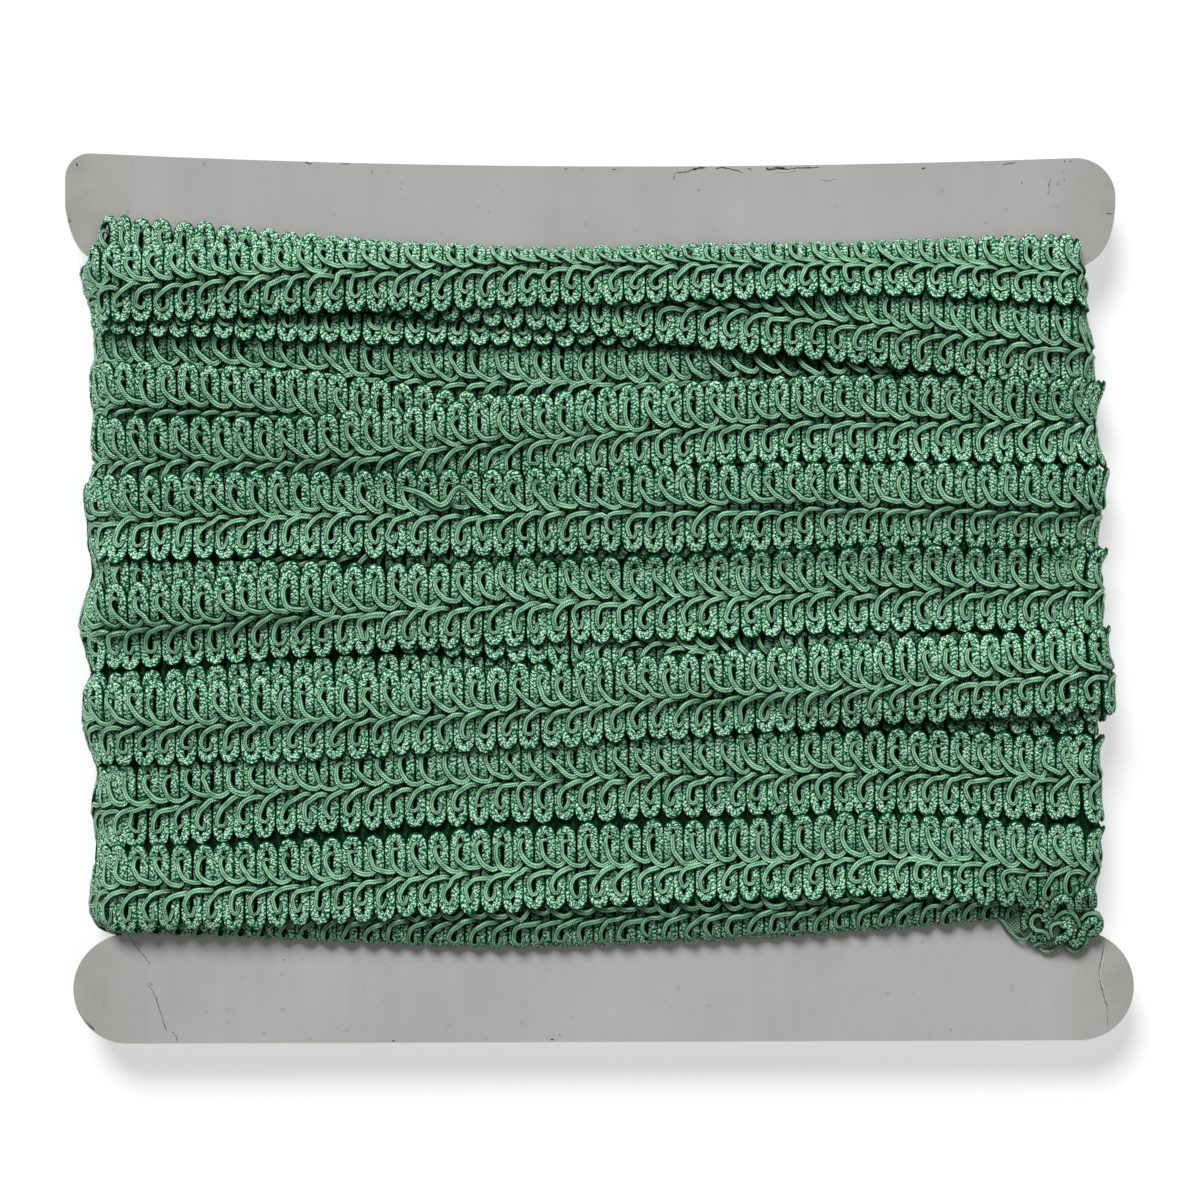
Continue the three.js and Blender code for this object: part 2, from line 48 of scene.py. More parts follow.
# Driving sizes, as in the part
CARD_THICKNESS = 2.0
CARD_MID_HEIGHT = 7.4
CARD_FRONT = CARD_MID_HEIGHT + CARD_THICKNESS / 2
WAIST_MID_X = -0.9
STRAIGHT_HALF = 68.1
SIDE_TURN_RADIUS = 6.3
# The pack falls from its shoulders to its feet, which stand this far off the card's middle plane
FOOT_HEIGHT = 2.0
FALL_STRAIGHTNESS = 1.4
FALL_POINTS = 25
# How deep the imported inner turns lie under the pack's outline, in its middle and at its feet
CORE_DEPTH = 2.5
CORE_DEPTH_AT_FOOT = 0.9
# Lower and upper end of each notch
NOTCH_LEFT = (-49.4, 49.8)
NOTCH_RIGHT = (-48.9, 48.7)

# Gimp braid: how far its two edges are from the spine, its thickness at the edges and at the spine
REACH_ABOVE_SPINE = 6.5
REACH_BELOW_SPINE = 6.2
EDGE_THICKNESS = 0.95
SPINE_THICKNESS = 1.6
SPINE_HALF_WIDTH = 3.2
REPEATS_PER_TURN = 100

# Distances along the front face at which the tables give values
ALONG = [-73, -44, -15, 15, 44, 73]

# The pack's edges up the card, and its height over the card's middle plane, on the front and on
# the back. It is full between its shoulders and falls to its feet.
FRONT_PACK = {
    "top_foot": [58.2, 53.8, 51.1, 52.0, 52.1, 54.4],
    "top_shoulder": [45.0, 45.5, 47.0, 47.5, 48.2, 46.5],
    "bottom_shoulder": [-43.0, -43.5, -44.0, -43.5, -42.0, -40.0],
    "bottom_foot": [-48.7, -49.9, -51.3, -50.3, -48.4, -45.6],
    "height": [5.7, 6.4, 6.7, 6.7, 6.4, 5.7],
}
BACK_PACK = {
    "top_foot": 51.5, "top_shoulder": 46.5, "bottom_shoulder": -45.5, "bottom_foot": -50.5,
    "height": 7.0,
}
# Round the sides: how far inside the notch its feet and shoulders are, and its height
SIDE_FOOT_INSET = 0.9
SIDE_SHOULDER_INSET = 3.2
SIDE_HEIGHT = 5.7
# How far the sides stand out past the even turn round the waist, at heights up the card
SIDE_OUT = {
    "height": [-50, -44, -36, -17, -9, -1, 12, 20, 30, 38, 46, 52],
    "left": [-1.7, -1.4, 0.5, 0.0, 3.4, -2.0, 1.5, 0.4, -1.0, 1.0, -2.5, 3.2],
    "right": [-1.4, -1.2, 3.0, 1.8, 0.8, 4.0, -0.6, 1.6, 0.0, -0.5, -2.6, 2.8],
}

# The outer turns in the order they lie, the lowest in the stack first: the height of the spine up
# the front face at the distances in ALONG, the phase of its scallops, and the shares of their full
# width that its upper and lower halves are squeezed to.
Turn = namedtuple("Turn", "name spine phase upper_width lower_width")
TURNS = [
    Turn("lowest", [-45.9, -46.9, -47.5, -46.3, -44.9, -43.4], 0.0, 1.0, 1.0),
    Turn("under_eighth", [2.5, 5.0, 10.5, 12.0, 13.0, 13.0], 0.3, 1.0, 1.0),
    Turn("under_tenth", [-17.8, -15.2, -14.3, -14.0, -13.5, -14.0], 0.6, 1.0, 1.0),
    Turn("under_ninth", [-0.2, -1.0, -2.6, -7.5, -11.5, -12.0], 0.1, 1.0, 1.0),
    Turn("fourth", [34.5, 33.1, 31.0, 31.8, 32.8, 32.5], 0.45, 1.0, 1.0),
    Turn("second", [43.6, 42.4, 41.7, 41.7, 41.8, 41.5], 0.8, 1.0, 0.82),
    Turn("slanting", [50.0, 48.3, 45.6, 42.3, 39.1, 35.8], 0.2, 1.0, 0.95),
    Turn("first", [45.1, 46.5, 47.3, 48.2, 49.4, 47.4], 0.55, 0.9, 0.86),
    Turn("fifth", [28.1, 26.9, 23.0, 21.0, 19.5, 18.5], 0.9, 1.0, 1.0),
    Turn("sixth", [19.9, 19.9, 22.3, 25.2, 25.9, 25.3], 0.35, 1.0, 1.0),
    Turn("seventh", [11.2, 12.0, 12.2, 12.9, 13.4, 12.6], 0.7, 1.0, 1.0),
    Turn("eighth", [-4.8, -2.6, -0.8, 0.0, 1.3, 0.8], 0.15, 1.0, 1.0),
    Turn("tenth", [-31.2, -28.3, -26.7, -25.9, -25.3, -26.6], 0.85, 1.0, 1.0),
    Turn("ninth", [-18.8, -18.0, -16.4, -14.5, -12.5, -10.7], 0.5, 1.0, 0.95),
    Turn("eleventh", [-42.8, -41.8, -39.9, -38.6, -37.3, -40.0], 0.25, 1.0, 0.95),
]

# Camera and light

CAMERA_LENS = 100.0
CAMERA_SENSOR = 36.0
CAMERA_X = 0.07
CAMERA_Y = -0.22
# The photo's scale holds at this height over the card's middle plane
WINDING_RISE = 4.0
MM_PER_PIXEL = 0.146
PHOTO_PIXELS = 1200

WHITE = (1, 1, 1, 1)
SKY_LIGHT = 0.15
# The floor, in metres
FLOOR_HALF = 2.0
FLOOR_GREY = (0.5, 0.5, 0.5, 1)
FLOOR_ROUGHNESS = 0.9
FLOOR_GLOW = 0.5
# The lamps, in metres and watts
Lamp = namedtuple("Lamp", "name place size power")
LAMPS = [
    Lamp("key", (-1.4, 4.4, 5.1), 2.8, 500.0),
    Lamp("fill", (0.5, -0.2, 1.5), 0.8, 4.0),
]


def make_camera():
    """A camera straight above the card. Its distance gives the photo's scale at the winding: the
    width in view times the lens over the sensor."""
    data = bpy.data.cameras.new("camera")
    data.lens = CAMERA_LENS
    data.sensor_width = CAMERA_SENSOR
    camera = bpy.data.objects.new("camera", data)
    wide = PHOTO_PIXELS * MM_PER_PIXEL
    distance = wide * CAMERA_LENS / CAMERA_SENSOR
    height = distance + CARD_MID_HEIGHT + WINDING_RISE
    camera.location = (CAMERA_X * MM, CAMERA_Y * MM, height * MM)
    bpy.context.scene.collection.objects.link(camera)
    bpy.context.scene.camera = camera


def make_lamp(lamp):
    """A round soft lamp that faces the middle of the card."""
    data = bpy.data.lights.new(lamp.name, "AREA")
    data.shape = "DISK"
    data.size = lamp.size
    data.energy = lamp.power
    light = bpy.data.objects.new(lamp.name, data)
    light.location = lamp.place
    aim = -np.array(lamp.place)
    light.rotation_mode = "QUATERNION"
    light.rotation_quaternion = Vector(aim.tolist()).to_track_quat("-Z", "Y")
    bpy.context.scene.collection.objects.link(light)


def make_floor():
    """A pale light table under the part: one square face that glows a little."""
    half = FLOOR_HALF
    mesh = bpy.data.meshes.new("floor")
    corners = [(-half, -half, 0), (half, -half, 0), (half, half, 0), (-half, half, 0)]
    mesh.from_pydata(corners, [], [(0, 1, 2, 3)])
    floor = bpy.data.objects.new("floor", mesh)
    bpy.context.scene.collection.objects.link(floor)
    material = bpy.data.materials.new("pale_floor")
    material.use_nodes = True
    shader = material.node_tree.nodes["Principled BSDF"]
    shader.inputs["Base Color"].default_value = FLOOR_GREY
    shader.inputs["Roughness"].default_value = FLOOR_ROUGHNESS
    shader.inputs["Emission Color"].default_value = WHITE
    shader.inputs["Emission Strength"].default_value = FLOOR_GLOW
    mesh.materials.append(material)


def make_light():
    """Soft light from above, stronger from the top of the photo, and a little from all round."""
    world = bpy.data.worlds.new("studio")
    world.use_nodes = True
    sky = world.node_tree.nodes["Background"]
    sky.inputs["Color"].default_value = WHITE
    sky.inputs["Strength"].default_value = SKY_LIGHT
    bpy.context.scene.world = world
    for lamp in LAMPS:
        make_lamp(lamp)
    bpy.context.scene.view_settings.view_transform = "Standard"


make_camera()
make_floor()
make_light()

# The path round the waist. The loop coordinate is the distance from the middle of the left side,
# along the front face, round the right side and along the back.

QUARTER = math.pi / 2 * SIDE_TURN_RADIUS
FRONT_START = QUARTER
FRONT_END = QUARTER + 2 * STRAIGHT_HALF
RIGHT_MIDDLE = FRONT_END + QUARTER
BACK_START = FRONT_END + 2 * QUARTER
BACK_END = BACK_START + 2 * STRAIGHT_HALF
LOOP = BACK_END + QUARTER
PITCH = LOOP / REPEATS_PER_TURN
# The grid on which the turns are laid: stations round the loop and cells across the pack
STATIONS = 208
ACROSS = 241


def outside_angle(loop):
    """Direction of the outside in the XZ plane: half a turn on the left side's middle, a quarter
    turn on the front, nothing on the right side's middle and minus a quarter turn on the back."""
    knots = [0, FRONT_START, FRONT_END, BACK_START, BACK_END, LOOP]
    angles = [math.pi, math.pi / 2, math.pi / 2, -math.pi / 2, -math.pi / 2, -math.pi]
    return np.interp(loop, knots, angles)


def centre_x(loop):
    """X of the stadium's middle line, which runs to and fro along the waist."""
    knots = [0, FRONT_START, FRONT_END, BACK_START, BACK_END, LOOP]
    half = STRAIGHT_HALF
    return np.interp(loop, knots, [-half, -half, half, half, -half, -half])


def smooth_share(value, start, end):
    """How far a value is from start to end, from 0 to 1, eased at both: 3 s squared less 2 s
    cubed."""
    share = np.clip((value - start) / (end - start), 0, 1)
    return share * share * (3 - 2 * share)


CORNER_REACH = 9.0


def read_smooth(values, along):
    """A table's value, with its corners rounded by the mean of readings close by."""
    shifts = np.array([-1, -0.5, 0, 0.5, 1]) * CORNER_REACH
    return np.mean([np.interp(along + shift, ALONG, values) for shift in shifts], axis=0)


station_loop = np.arange(STATIONS) * LOOP / STATIONS
station_angle = outside_angle(station_loop)
station_along = station_loop - FRONT_START - STRAIGHT_HALF
# The front's own sizes hold up to where the outside has turned level, at the middle of a side
LEVEL = 0.02
station_front = (station_angle > LEVEL) & (station_loop < RIGHT_MIDDLE)
station_right = centre_x(station_loop) > 0


def round_the_side(start, whole):
    """How far each station is round a side: 0 where the outside has turned less than start degrees
    away from a face, 1 where it has turned more than whole degrees."""
    turned = np.abs(np.cos(station_angle))
    return smooth_share(turned, math.sin(math.radians(start)), math.sin(math.radians(whole)))


station_side = round_the_side(start=14, whole=68)
# At the top edge the braid keeps its width further round, over the flange
station_top_side = round_the_side(start=38, whole=74)
# How far a station is along the back pass
back_share = np.clip((station_loop - FRONT_END - QUARTER) / (LOOP - FRONT_END - QUARTER), 0, 1)


def pack_outlines():
    """Shoulders, feet and height of the pack at each station: the face's own values, turned into
    the side's, which stay inside the notch, as the station goes round the side."""
    top = np.where(station_right, NOTCH_RIGHT[1], NOTCH_LEFT[1])
    bottom = np.where(station_right, NOTCH_RIGHT[0], NOTCH_LEFT[0])
    side = {
        "top_foot": top - SIDE_FOOT_INSET,
        "top_shoulder": top - SIDE_SHOULDER_INSET,
        "bottom_shoulder": bottom + SIDE_SHOULDER_INSET,
        "bottom_foot": bottom + SIDE_FOOT_INSET,
        "height": np.full(STATIONS, SIDE_HEIGHT),
    }
    pack = {}
    for key, values in FRONT_PACK.items():
        face = np.where(station_front, read_smooth(values, station_along), BACK_PACK[key])
        share = station_top_side if key == "top_foot" else station_side
        pack[key] = face + (side[key] - face) * share
    return pack


def pack_profiles(pack):
    """Lines across the pack, one a station: flat between the shoulders, and a quarter of a
    superellipse from each shoulder down to its foot. They are cut into equal lengths, and each
    point has its place up the card, its height from the card's middle plane and the outward
    direction."""
    quarter = np.linspace(0, math.pi / 2, FALL_POINTS)
    outwards = np.sin(quarter) ** FALL_STRAIGHTNESS
    downwards = 1 - np.clip(np.cos(quarter), 0, 1) ** FALL_STRAIGHTNESS
    drop = (pack["height"] - FOOT_HEIGHT)[:, None]
    fall = pack["height"][:, None] - drop * downwards
    down = (pack["bottom_foot"] - pack["bottom_shoulder"])[:, None] * outwards
    up = (pack["top_foot"] - pack["top_shoulder"])[:, None] * outwards
    ys = np.hstack([(pack["bottom_shoulder"][:, None] + down)[:, ::-1],
                    pack["top_shoulder"][:, None] + up])
    heights = np.hstack([fall[:, ::-1], fall])
    steps = np.hypot(np.diff(ys, axis=1), np.diff(heights, axis=1))
    lengths = np.hstack([np.zeros((STATIONS, 1)), np.cumsum(steps, axis=1)])
    totals = lengths[:, -1]
    cuts = np.linspace(0, 1, ACROSS) * totals[:, None]
    y = np.array([np.interp(cut, run, line) for cut, run, line in zip(cuts, lengths, ys)])
    h = np.array([np.interp(cut, run, line) for cut, run, line in zip(cuts, lengths, heights)])
    dy = np.gradient(y, axis=1)
    dh = np.gradient(h, axis=1)
    span = np.hypot(dy, dh)
    return {"y": y, "h": h, "out_y": -dh / span, "out_h": dy / span, "total": totals}


profile = pack_profiles(pack_outlines())


def spine_lines():
    """Height up the card of each turn's spine at each station. A back pass leads from a turn's
    right end to the left end of the turn next below it."""
    fronts = np.array([read_smooth(turn.spine, station_along) for turn in TURNS])
    rights = np.array([turn.spine[-1] for turn in TURNS])
    lefts = np.array([turn.spine[0] for turn in TURNS])
    right_rank = np.argsort(np.argsort(-rights))
    left_order = np.argsort(-lefts)
    landing_turn = left_order[np.minimum(right_rank + 1, len(TURNS) - 1)]
    ease = smooth_share(back_share, 0, 1)
    backs = rights[:, None] + (lefts[landing_turn] - rights)[:, None] * ease
    return np.where(station_loop < RIGHT_MIDDLE, fronts, backs), landing_turn


spine_y, landing_turn = spine_lines()


def around(field, reach, how):
    """The largest or mean of a field over cells up to reach away across the pack."""
    padded = np.pad(field, ((0, 0), (reach, reach)), mode="edge")
    windows = [padded[:, k:k + field.shape[1]] for k in range(2 * reach + 1)]
    return how(windows, axis=0)


def along_loop(field, reach):
    """The mean of a field over stations up to reach away, round the loop."""
    return np.mean([np.roll(field, k, axis=0) for k in range(-reach, reach + 1)], axis=0)


# How a turn is draped: how far inside the pack's feet its spine stays, the cells of the hollows
# that it bridges, and how squarely it is thick up to its edges
SPINE_INSET = 1
BRIDGED_CELLS = 2
EDGE_SQUARENESS = 6


def lay_turns():
    """Drapes each turn over what lies under it. The surface under a turn bridges narrow hollows,
    and the turn then raises it by its own thickness, most at the spine. Returns the surface that
    each turn lies on, the line of its spine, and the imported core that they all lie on."""
    arcs = np.linspace(0, 1, ACROSS)[None, :] * profile["total"][:, None]
    near_edge = np.minimum(arcs, profile["total"][:, None] - arcs)
    ease = smooth_share(near_edge, 0, REACH_ABOVE_SPINE)
    core = -(CORE_DEPTH_AT_FOOT + (CORE_DEPTH - CORE_DEPTH_AT_FOOT) * ease)
    field = core.copy()
    supports = []
    tops = []
    centres = []
    for line in spine_y:
        low = profile["y"][:, 0] + SPINE_INSET
        high = profile["y"][:, -1] - SPINE_INSET
        held = np.clip(line, low, high)
        centre = np.array([np.interp(y, ys, a) for y, ys, a in zip(held, profile["y"], arcs)])
        bridged = around(around(field, BRIDGED_CELLS, np.max), BRIDGED_CELLS, np.mean)
        support = along_loop(bridged, BRIDGED_CELLS)
        across = arcs - centre[:, None]
        reach = np.where(across > 0, REACH_ABOVE_SPINE, REACH_BELOW_SPINE)
        bulge = np.exp(-((across / SPINE_HALF_WIDTH) ** 2))
        squared = (np.abs(across) / reach) ** EDGE_SQUARENESS
        rounded = np.sqrt(np.clip(1 - squared, 0, 1))
        thick = (EDGE_THICKNESS + (SPINE_THICKNESS - EDGE_THICKNESS) * bulge) * rounded
        inside = np.abs(across) < reach
        field = np.where(inside, np.maximum(field, support + thick), field)
        supports.append(support)
        tops.append(field.copy())
        centres.append(along_loop(centre[:, None], 1)[:, 0])
    return np.array(supports), np.array(tops), np.array(centres), core, field


supports, tops, centres, core_field, top_field = lay_turns()

# On the left side, where a turn ends and the next begins, all of them follow one common surface.
COMMON_CELLS = 3
LEFT_TURNED = (0.35, 0.9)
CORE_UNDER_COMMON = 0.25
common = around(top_field - EDGE_THICKNESS, COMMON_CELLS, np.mean)
left_share = smooth_share(-np.cos(station_angle), *LEFT_TURNED)[None, :, None]
supports = supports + (common[None] - supports) * left_share
core_field = core_field + (common - CORE_UNDER_COMMON - core_field) * left_share[0]

# Share of each place of a turn that is closed in by the turns laid over it, there or just above
# it. The materials paint shade by it: the braid's colour turns deep green where it is packed.
CLOSED_CELLS = 1
CLOSED_FROM = 0.1
CLOSED_DEPTH = 1.4


def closed_in():
    """How much lies over each turn: the highest cover up to a few cells up the card, eased."""
    cover = top_field[None] - tops
    padded = np.pad(cover, ((0, 0), (0, 0), (0, CLOSED_CELLS)), mode="edge")
    highest = np.max([padded[:, :, k:k + ACROSS] for k in range(CLOSED_CELLS + 1)], axis=0)
    share = smooth_share(highest, CLOSED_FROM, CLOSED_DEPTH)
    return np.array([around(one, 1, np.mean) for one in share]) * (1 - left_share)


closed = closed_in()


def read_grid(grid, loop, share):
    """Bilinear reading of a station by arc grid, at a loop coordinate and a share across it."""
    i = (loop / LOOP * STATIONS) % STATIONS
    low_i = np.floor(i).astype(int) % STATIONS
    next_i = (low_i + 1) % STATIONS
    part_i = i - np.floor(i)
    j = np.clip(share, 0, 1) * (ACROSS - 1)
    low_j = np.minimum(np.floor(j).astype(int), ACROSS - 2)
    part_j = j - low_j
    a = grid[low_i, low_j] * (1 - part_j) + grid[low_i, low_j + 1] * part_j
    b = grid[next_i, low_j] * (1 - part_j) + grid[next_i, low_j + 1] * part_j
    return a * (1 - part_i) + b * part_i


def read_line(line, loop):
    """Linear reading of one value a station, round the loop."""
    i = (loop / LOOP * STATIONS) % STATIONS
    low_i = np.floor(i).astype(int) % STATIONS
    part = i - np.floor(i)
    return line[low_i] * (1 - part) + line[(low_i + 1) % STATIONS] * part


def soft_below(value, limit, ease):
    """A value held under a limit, with a soft corner of the size ease."""
    return limit - ease * np.logaddexp(0, (limit - value) / ease)


# The back's turns are pressed flat on the surface, down to this distance from the card's middle
# plane, once the outside has turned that far down
BACK_REST = CARD_MID_HEIGHT - 0.45
BACK_EASE = 0.35
TURNED_DOWN = (0.5, 0.95)
# Where the outside has turned that far sideways, the turns keep this distance from the notch's ends
IN_NOTCH = (0.93, 0.985)
NOTCH_MARGIN = 0.45
# Where the sides stand out and the strands are pressed down
ROUND_SIDE = (0.3, 0.9)
STAND_OUT_SHIFTS = (-4.0, 0.0, 4.0)
# How far a turn's edges stay from the pack's feet, and the softness of that limit
FOOT_MARGIN = 0.3
FOOT_EASE = 0.6


def round_side_share(angle):
    """How far round a side a direction of the outside is, from 0 on a face to 1."""
    return smooth_share(np.abs(np.cos(angle)), *ROUND_SIDE)


def side_stand_out(y, right):
    """How far a side stands out at a height up the card, with the table's corners rounded."""
    heights = SIDE_OUT["height"]
    shifts = STAND_OUT_SHIFTS
    left_out = np.mean([np.interp(y + k, heights, SIDE_OUT["left"]) for k in shifts], axis=0)
    right_out = np.mean([np.interp(y + k, heights, SIDE_OUT["right"]) for k in shifts], axis=0)
    return np.where(right, right_out, left_out)


def surface_point(loop, arc, rise_from, lift):
    """The point over the pack at a loop coordinate and an arc length across it: the profile's
    point, moved outwards by the surface lain on and the lift, and turned round the waist."""
    total = read_line(profile["total"], loop)
    arc = soft_below(arc, total - FOOT_MARGIN, FOOT_EASE)
    arc = total - soft_below(total - arc, total - FOOT_MARGIN, FOOT_EASE)
    share = arc / total
    rise = read_grid(rise_from, loop, share) + lift
    y = read_grid(profile["y"], loop, share) + read_grid(profile["out_y"], loop, share) * rise
    radius = read_grid(profile["h"], loop, share) + read_grid(profile["out_h"], loop, share) * rise
    wrapped = loop % LOOP
    angle = outside_angle(wrapped)
    on_back = smooth_share(-np.sin(angle), *TURNED_DOWN)
    radius = radius + (soft_below(radius, BACK_REST, BACK_EASE) - radius) * on_back
    right = centre_x(wrapped) > 0
    low = np.where(right, NOTCH_RIGHT[0], NOTCH_LEFT[0]) + NOTCH_MARGIN
    high = np.where(right, NOTCH_RIGHT[1], NOTCH_LEFT[1]) - NOTCH_MARGIN
    in_notch = smooth_share(np.abs(np.cos(angle)), *IN_NOTCH)
    y = y + (np.clip(y, low, high) - y) * in_notch
    radius = radius + round_side_share(angle) * side_stand_out(y, right)
    x = WAIST_MID_X + centre_x(wrapped) + np.cos(angle) * radius
    z = CARD_MID_HEIGHT + np.sin(angle) * radius
    return np.stack([x, y, z], axis=-1)


STATIONS_PAST_END = STATIONS // 20


def turn_arc(turn, loop, across):
    """Arc length across the pack of a place of one turn. Past a whole loop the turn goes on as
    the one that it leads to."""
    following = centres[landing_turn[turn]][:STATIONS_PAST_END]
    line = np.concatenate([centres[turn], following])
    centre = np.interp(loop / LOOP * STATIONS, np.arange(len(line)), line)
    return centre + across * np.where(across > 0, TURNS[turn].upper_width, TURNS[turn].lower_width)


def turn_point(turn, loop, across, lift):
    """A point of one turn: its distance round the loop, across from its spine and above what it
    lies on."""
    return surface_point(loop, turn_arc(turn, loop, across), supports[turn], lift)


# Where painted shade makes the braid darker and its sheen weaker: over the loose end, as (x, y)
# with its reach each way, and all along the lowest turn
DULL_SPOT = (64.0, -43.0)
DULL_REACH = (9.0, 4.5)
DULL_SHARE = 0.42
LOWEST_TURN_SHARE = 0.8


def turn_openness(turn, loop, across):
    """How open a place of a turn is, from 0 under other turns to 1 on the outside, less a share
    that falls off round the dull spot and a share on the lowest turn. The materials paint shade by
    it."""
    share = turn_arc(turn, loop, across) / read_line(profile["total"], loop)
    y = read_grid(profile["y"], loop, share)
    x = WAIST_MID_X + loop - FRONT_START - STRAIGHT_HALF
    away = ((x - DULL_SPOT[0]) / DULL_REACH[0]) ** 2 + ((y - DULL_SPOT[1]) / DULL_REACH[1]) ** 2
    shine = (1 - DULL_SHARE * np.exp(-away)) * (LOWEST_TURN_SHARE if turn == 0 else 1)
    return (1 - read_grid(closed[turn], loop, share)) * shine


NEAR = 0.35


def turn_normal(turn, loop, across, lift):
    """The outward direction there: the cross product of the ways along the turn and across it,
    from four points close by."""
    ahead = turn_point(turn, loop + NEAR, across, lift)
    behind = turn_point(turn, loop - NEAR, across, lift)
    above = turn_point(turn, loop, across + NEAR, lift)
    below = turn_point(turn, loop, across - NEAR, lift)
    normal = np.cross(ahead - behind, above - below)
    return normal / np.linalg.norm(normal, axis=-1, keepdims=True)


# Meshes


def close_seam(mesh, uv):
    """Adds a whole turn to the way round at the corners where a face crosses the seam."""
    starts = np.empty(len(mesh.polygons), dtype=np.int32)
    mesh.polygons.foreach_get("loop_start", starts)
    counts = np.diff(np.append(starts, len(uv)))
    high = np.repeat(np.maximum.reduceat(uv[:, 1], starts), counts)
    low = np.repeat(np.minimum.reduceat(uv[:, 1], starts), counts)
    crossing = (high - low > 0.5) & (np.repeat(counts, counts) == 4)
    uv[:, 1] += np.where(crossing & (uv[:, 1] < 0.5), 1, 0)
    return uv


def make_piece(name, points, faces, materials, uv=None, face_materials=None, smooth=True,
               openness=None):
    """A mesh object from points in millimetres and faces, an array or list of index rows. Its
    openness, from 0 to 1 a point, is kept as an attribute; the materials paint shade where it is
    low."""
    mesh = bpy.data.meshes.new(name)
    mesh.from_pydata((np.asarray(points) * MM).tolist(), [], faces)
    for material in materials:
        mesh.materials.append(material)
    if uv is not None:
        layer = mesh.uv_layers.new(name="strand")
        corner = np.empty(len(mesh.loops), dtype=np.int32)
        mesh.loops.foreach_get("vertex_index", corner)
        at_corners = np.asarray(uv, dtype=np.float32)[corner]
        layer.data.foreach_set("uv", close_seam(mesh, at_corners).ravel())
    if openness is not None:
        layer = mesh.attributes.new("openness", "FLOAT", "POINT")
        layer.data.foreach_set("value", np.asarray(openness, dtype=np.float32))
    if face_materials is not None:
        mesh.polygons.foreach_set("material_index", np.asarray(face_materials, dtype=np.int32))
    mesh.polygons.foreach_set("use_smooth", np.full(len(mesh.polygons), smooth))
    mesh.update()
    piece = bpy.data.objects.new(name, mesh)
    bpy.context.scene.collection.objects.link(piece)
    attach(piece, "root")
    return piece


def tube_points(path, normal, section, scale=None):
    """Rings of a section carried along paths. path is (..., steps, 3), normal the outward direction
    there, and section a row of (side, out) offsets. Each ring lies across the path."""
    tangent = np.gradient(path, axis=-2)
    tangent /= np.linalg.norm(tangent, axis=-1, keepdims=True)
    side = np.cross(normal, tangent)
    side /= np.linalg.norm(side, axis=-1, keepdims=True)
    out = np.cross(tangent, side)
    offsets = np.asarray(section)
    if scale is None:
        scale = np.ones(path.shape[:-1])
    grow = scale[..., None, None]
    rings = path[..., None, :] + grow * (
        side[..., None, :] * offsets[:, 0][:, None] + out[..., None, :] * offsets[:, 1][:, None]
    )
    return rings


def tube_faces(tubes, steps, sides):
    """Quads between the rings of equal tubes, and a face across each end."""
    ring = np.arange(sides)
    after = (ring + 1) % sides
    start = (np.arange(tubes)[:, None] * steps + np.arange(steps - 1)[None, :]) * sides
    start = start[..., None]
    quads = np.stack(
        [start + ring, start + after, start + sides + after, start + sides + ring], axis=-1
    )
    first = np.arange(tubes)[:, None] * steps * sides + ring[::-1][None, :]
    last = np.arange(tubes)[:, None] * steps * sides + (steps - 1) * sides + ring[None, :]
    return quads.reshape(-1, 4).tolist() + first.tolist() + last.tolist()


# Sections of the two cords: (side, out) offsets in millimetres and the share of the way round
CORD_HALF_WIDTH = 0.76
CORD_HALF_THICKNESS = 0.46
GIMP_HALF_WIDTH = 0.52
GIMP_HALF_THICKNESS = 0.38
EDGE_DROP = 0.04
UNDERSIDE_FULLNESS = 0.8


def flat_section(half_width, half_thickness, shoulder, fullness):
    """Six points round a flat cord: both edges, both shoulders at a share of the width and of the
    thickness, the middle of its face and of its underside."""
    side = half_width * shoulder
    out = half_thickness * fullness
    return np.array([
        (half_width, -EDGE_DROP, 0.0), (side, out, 0.15), (0.0, half_thickness, 0.25),
        (-side, out, 0.35), (-half_width, -EDGE_DROP, 0.5),
        (0.0, -half_thickness * UNDERSIDE_FULLNESS, 0.75),
    ])


CORD_SECTION = flat_section(CORD_HALF_WIDTH, CORD_HALF_THICKNESS, shoulder=0.72, fullness=0.76)
GIMP_SECTION = flat_section(GIMP_HALF_WIDTH, GIMP_HALF_THICKNESS, shoulder=0.64, fullness=0.68)
# How far the cord's own middle line goes from the spine, up and down
CORD_TOP = 6.85 - CORD_HALF_WIDTH
CORD_BOTTOM = 6.3 - CORD_HALF_WIDTH
CORD_STEPS = 20
# Share of a repeat at which the cord is at its top
TOP_SHARE = 0.25
# How much wider a scallop is than the gap between its legs, and how straight the legs are
LOOP_BULGE = 1.78
LEG_FLATNESS = 0.55
# How much the scallops differ: in their reach, their lean and their place along the braid
REACH_SPREAD = 0.22
LEAN_SPREAD = 0.10
PLACE_SPREAD = 0.05
# The cord is pressed down under the strands at the spine, where painted shade darkens it, and its
# loops stand off at their tips
CORD_CLEARANCE = 0.05
SPINE_DIP = 0.25
SPINE_DIP_WIDTH = 1.5
SPINE_SHADE = 0.75
TIP_LIFT = 0.28
TIP_STEEPNESS = 4
# The strands' own map: its first value is a tenth of the length in millimetres
UV_PER_MM = 0.1


def repeat_noise(count, amount):
    """A random value a repeat, the same at both ends of a turn."""
    return rng.uniform(-amount, amount, count)


def phase_along(turn, loop):
    """Repeats passed at a loop coordinate. The back pass takes up the difference between this
    turn's first scallop and the next turn's."""
    start = TURNS[turn].phase
    following = TURNS[landing_turn[turn]].phase
    back = smooth_share(loop, RIGHT_MIDDLE, LOOP)
    return loop / PITCH + start + (following - start) * back


PHASE_READINGS = 4000


def loop_at_phase(turn, phase):
    """The loop coordinate at a number of repeats, by reading the phase line backwards."""
    loops = np.linspace(-2 * PITCH, LOOP + 2 * PITCH, PHASE_READINGS)
    return np.interp(phase, phase_along(turn, loops), loops)


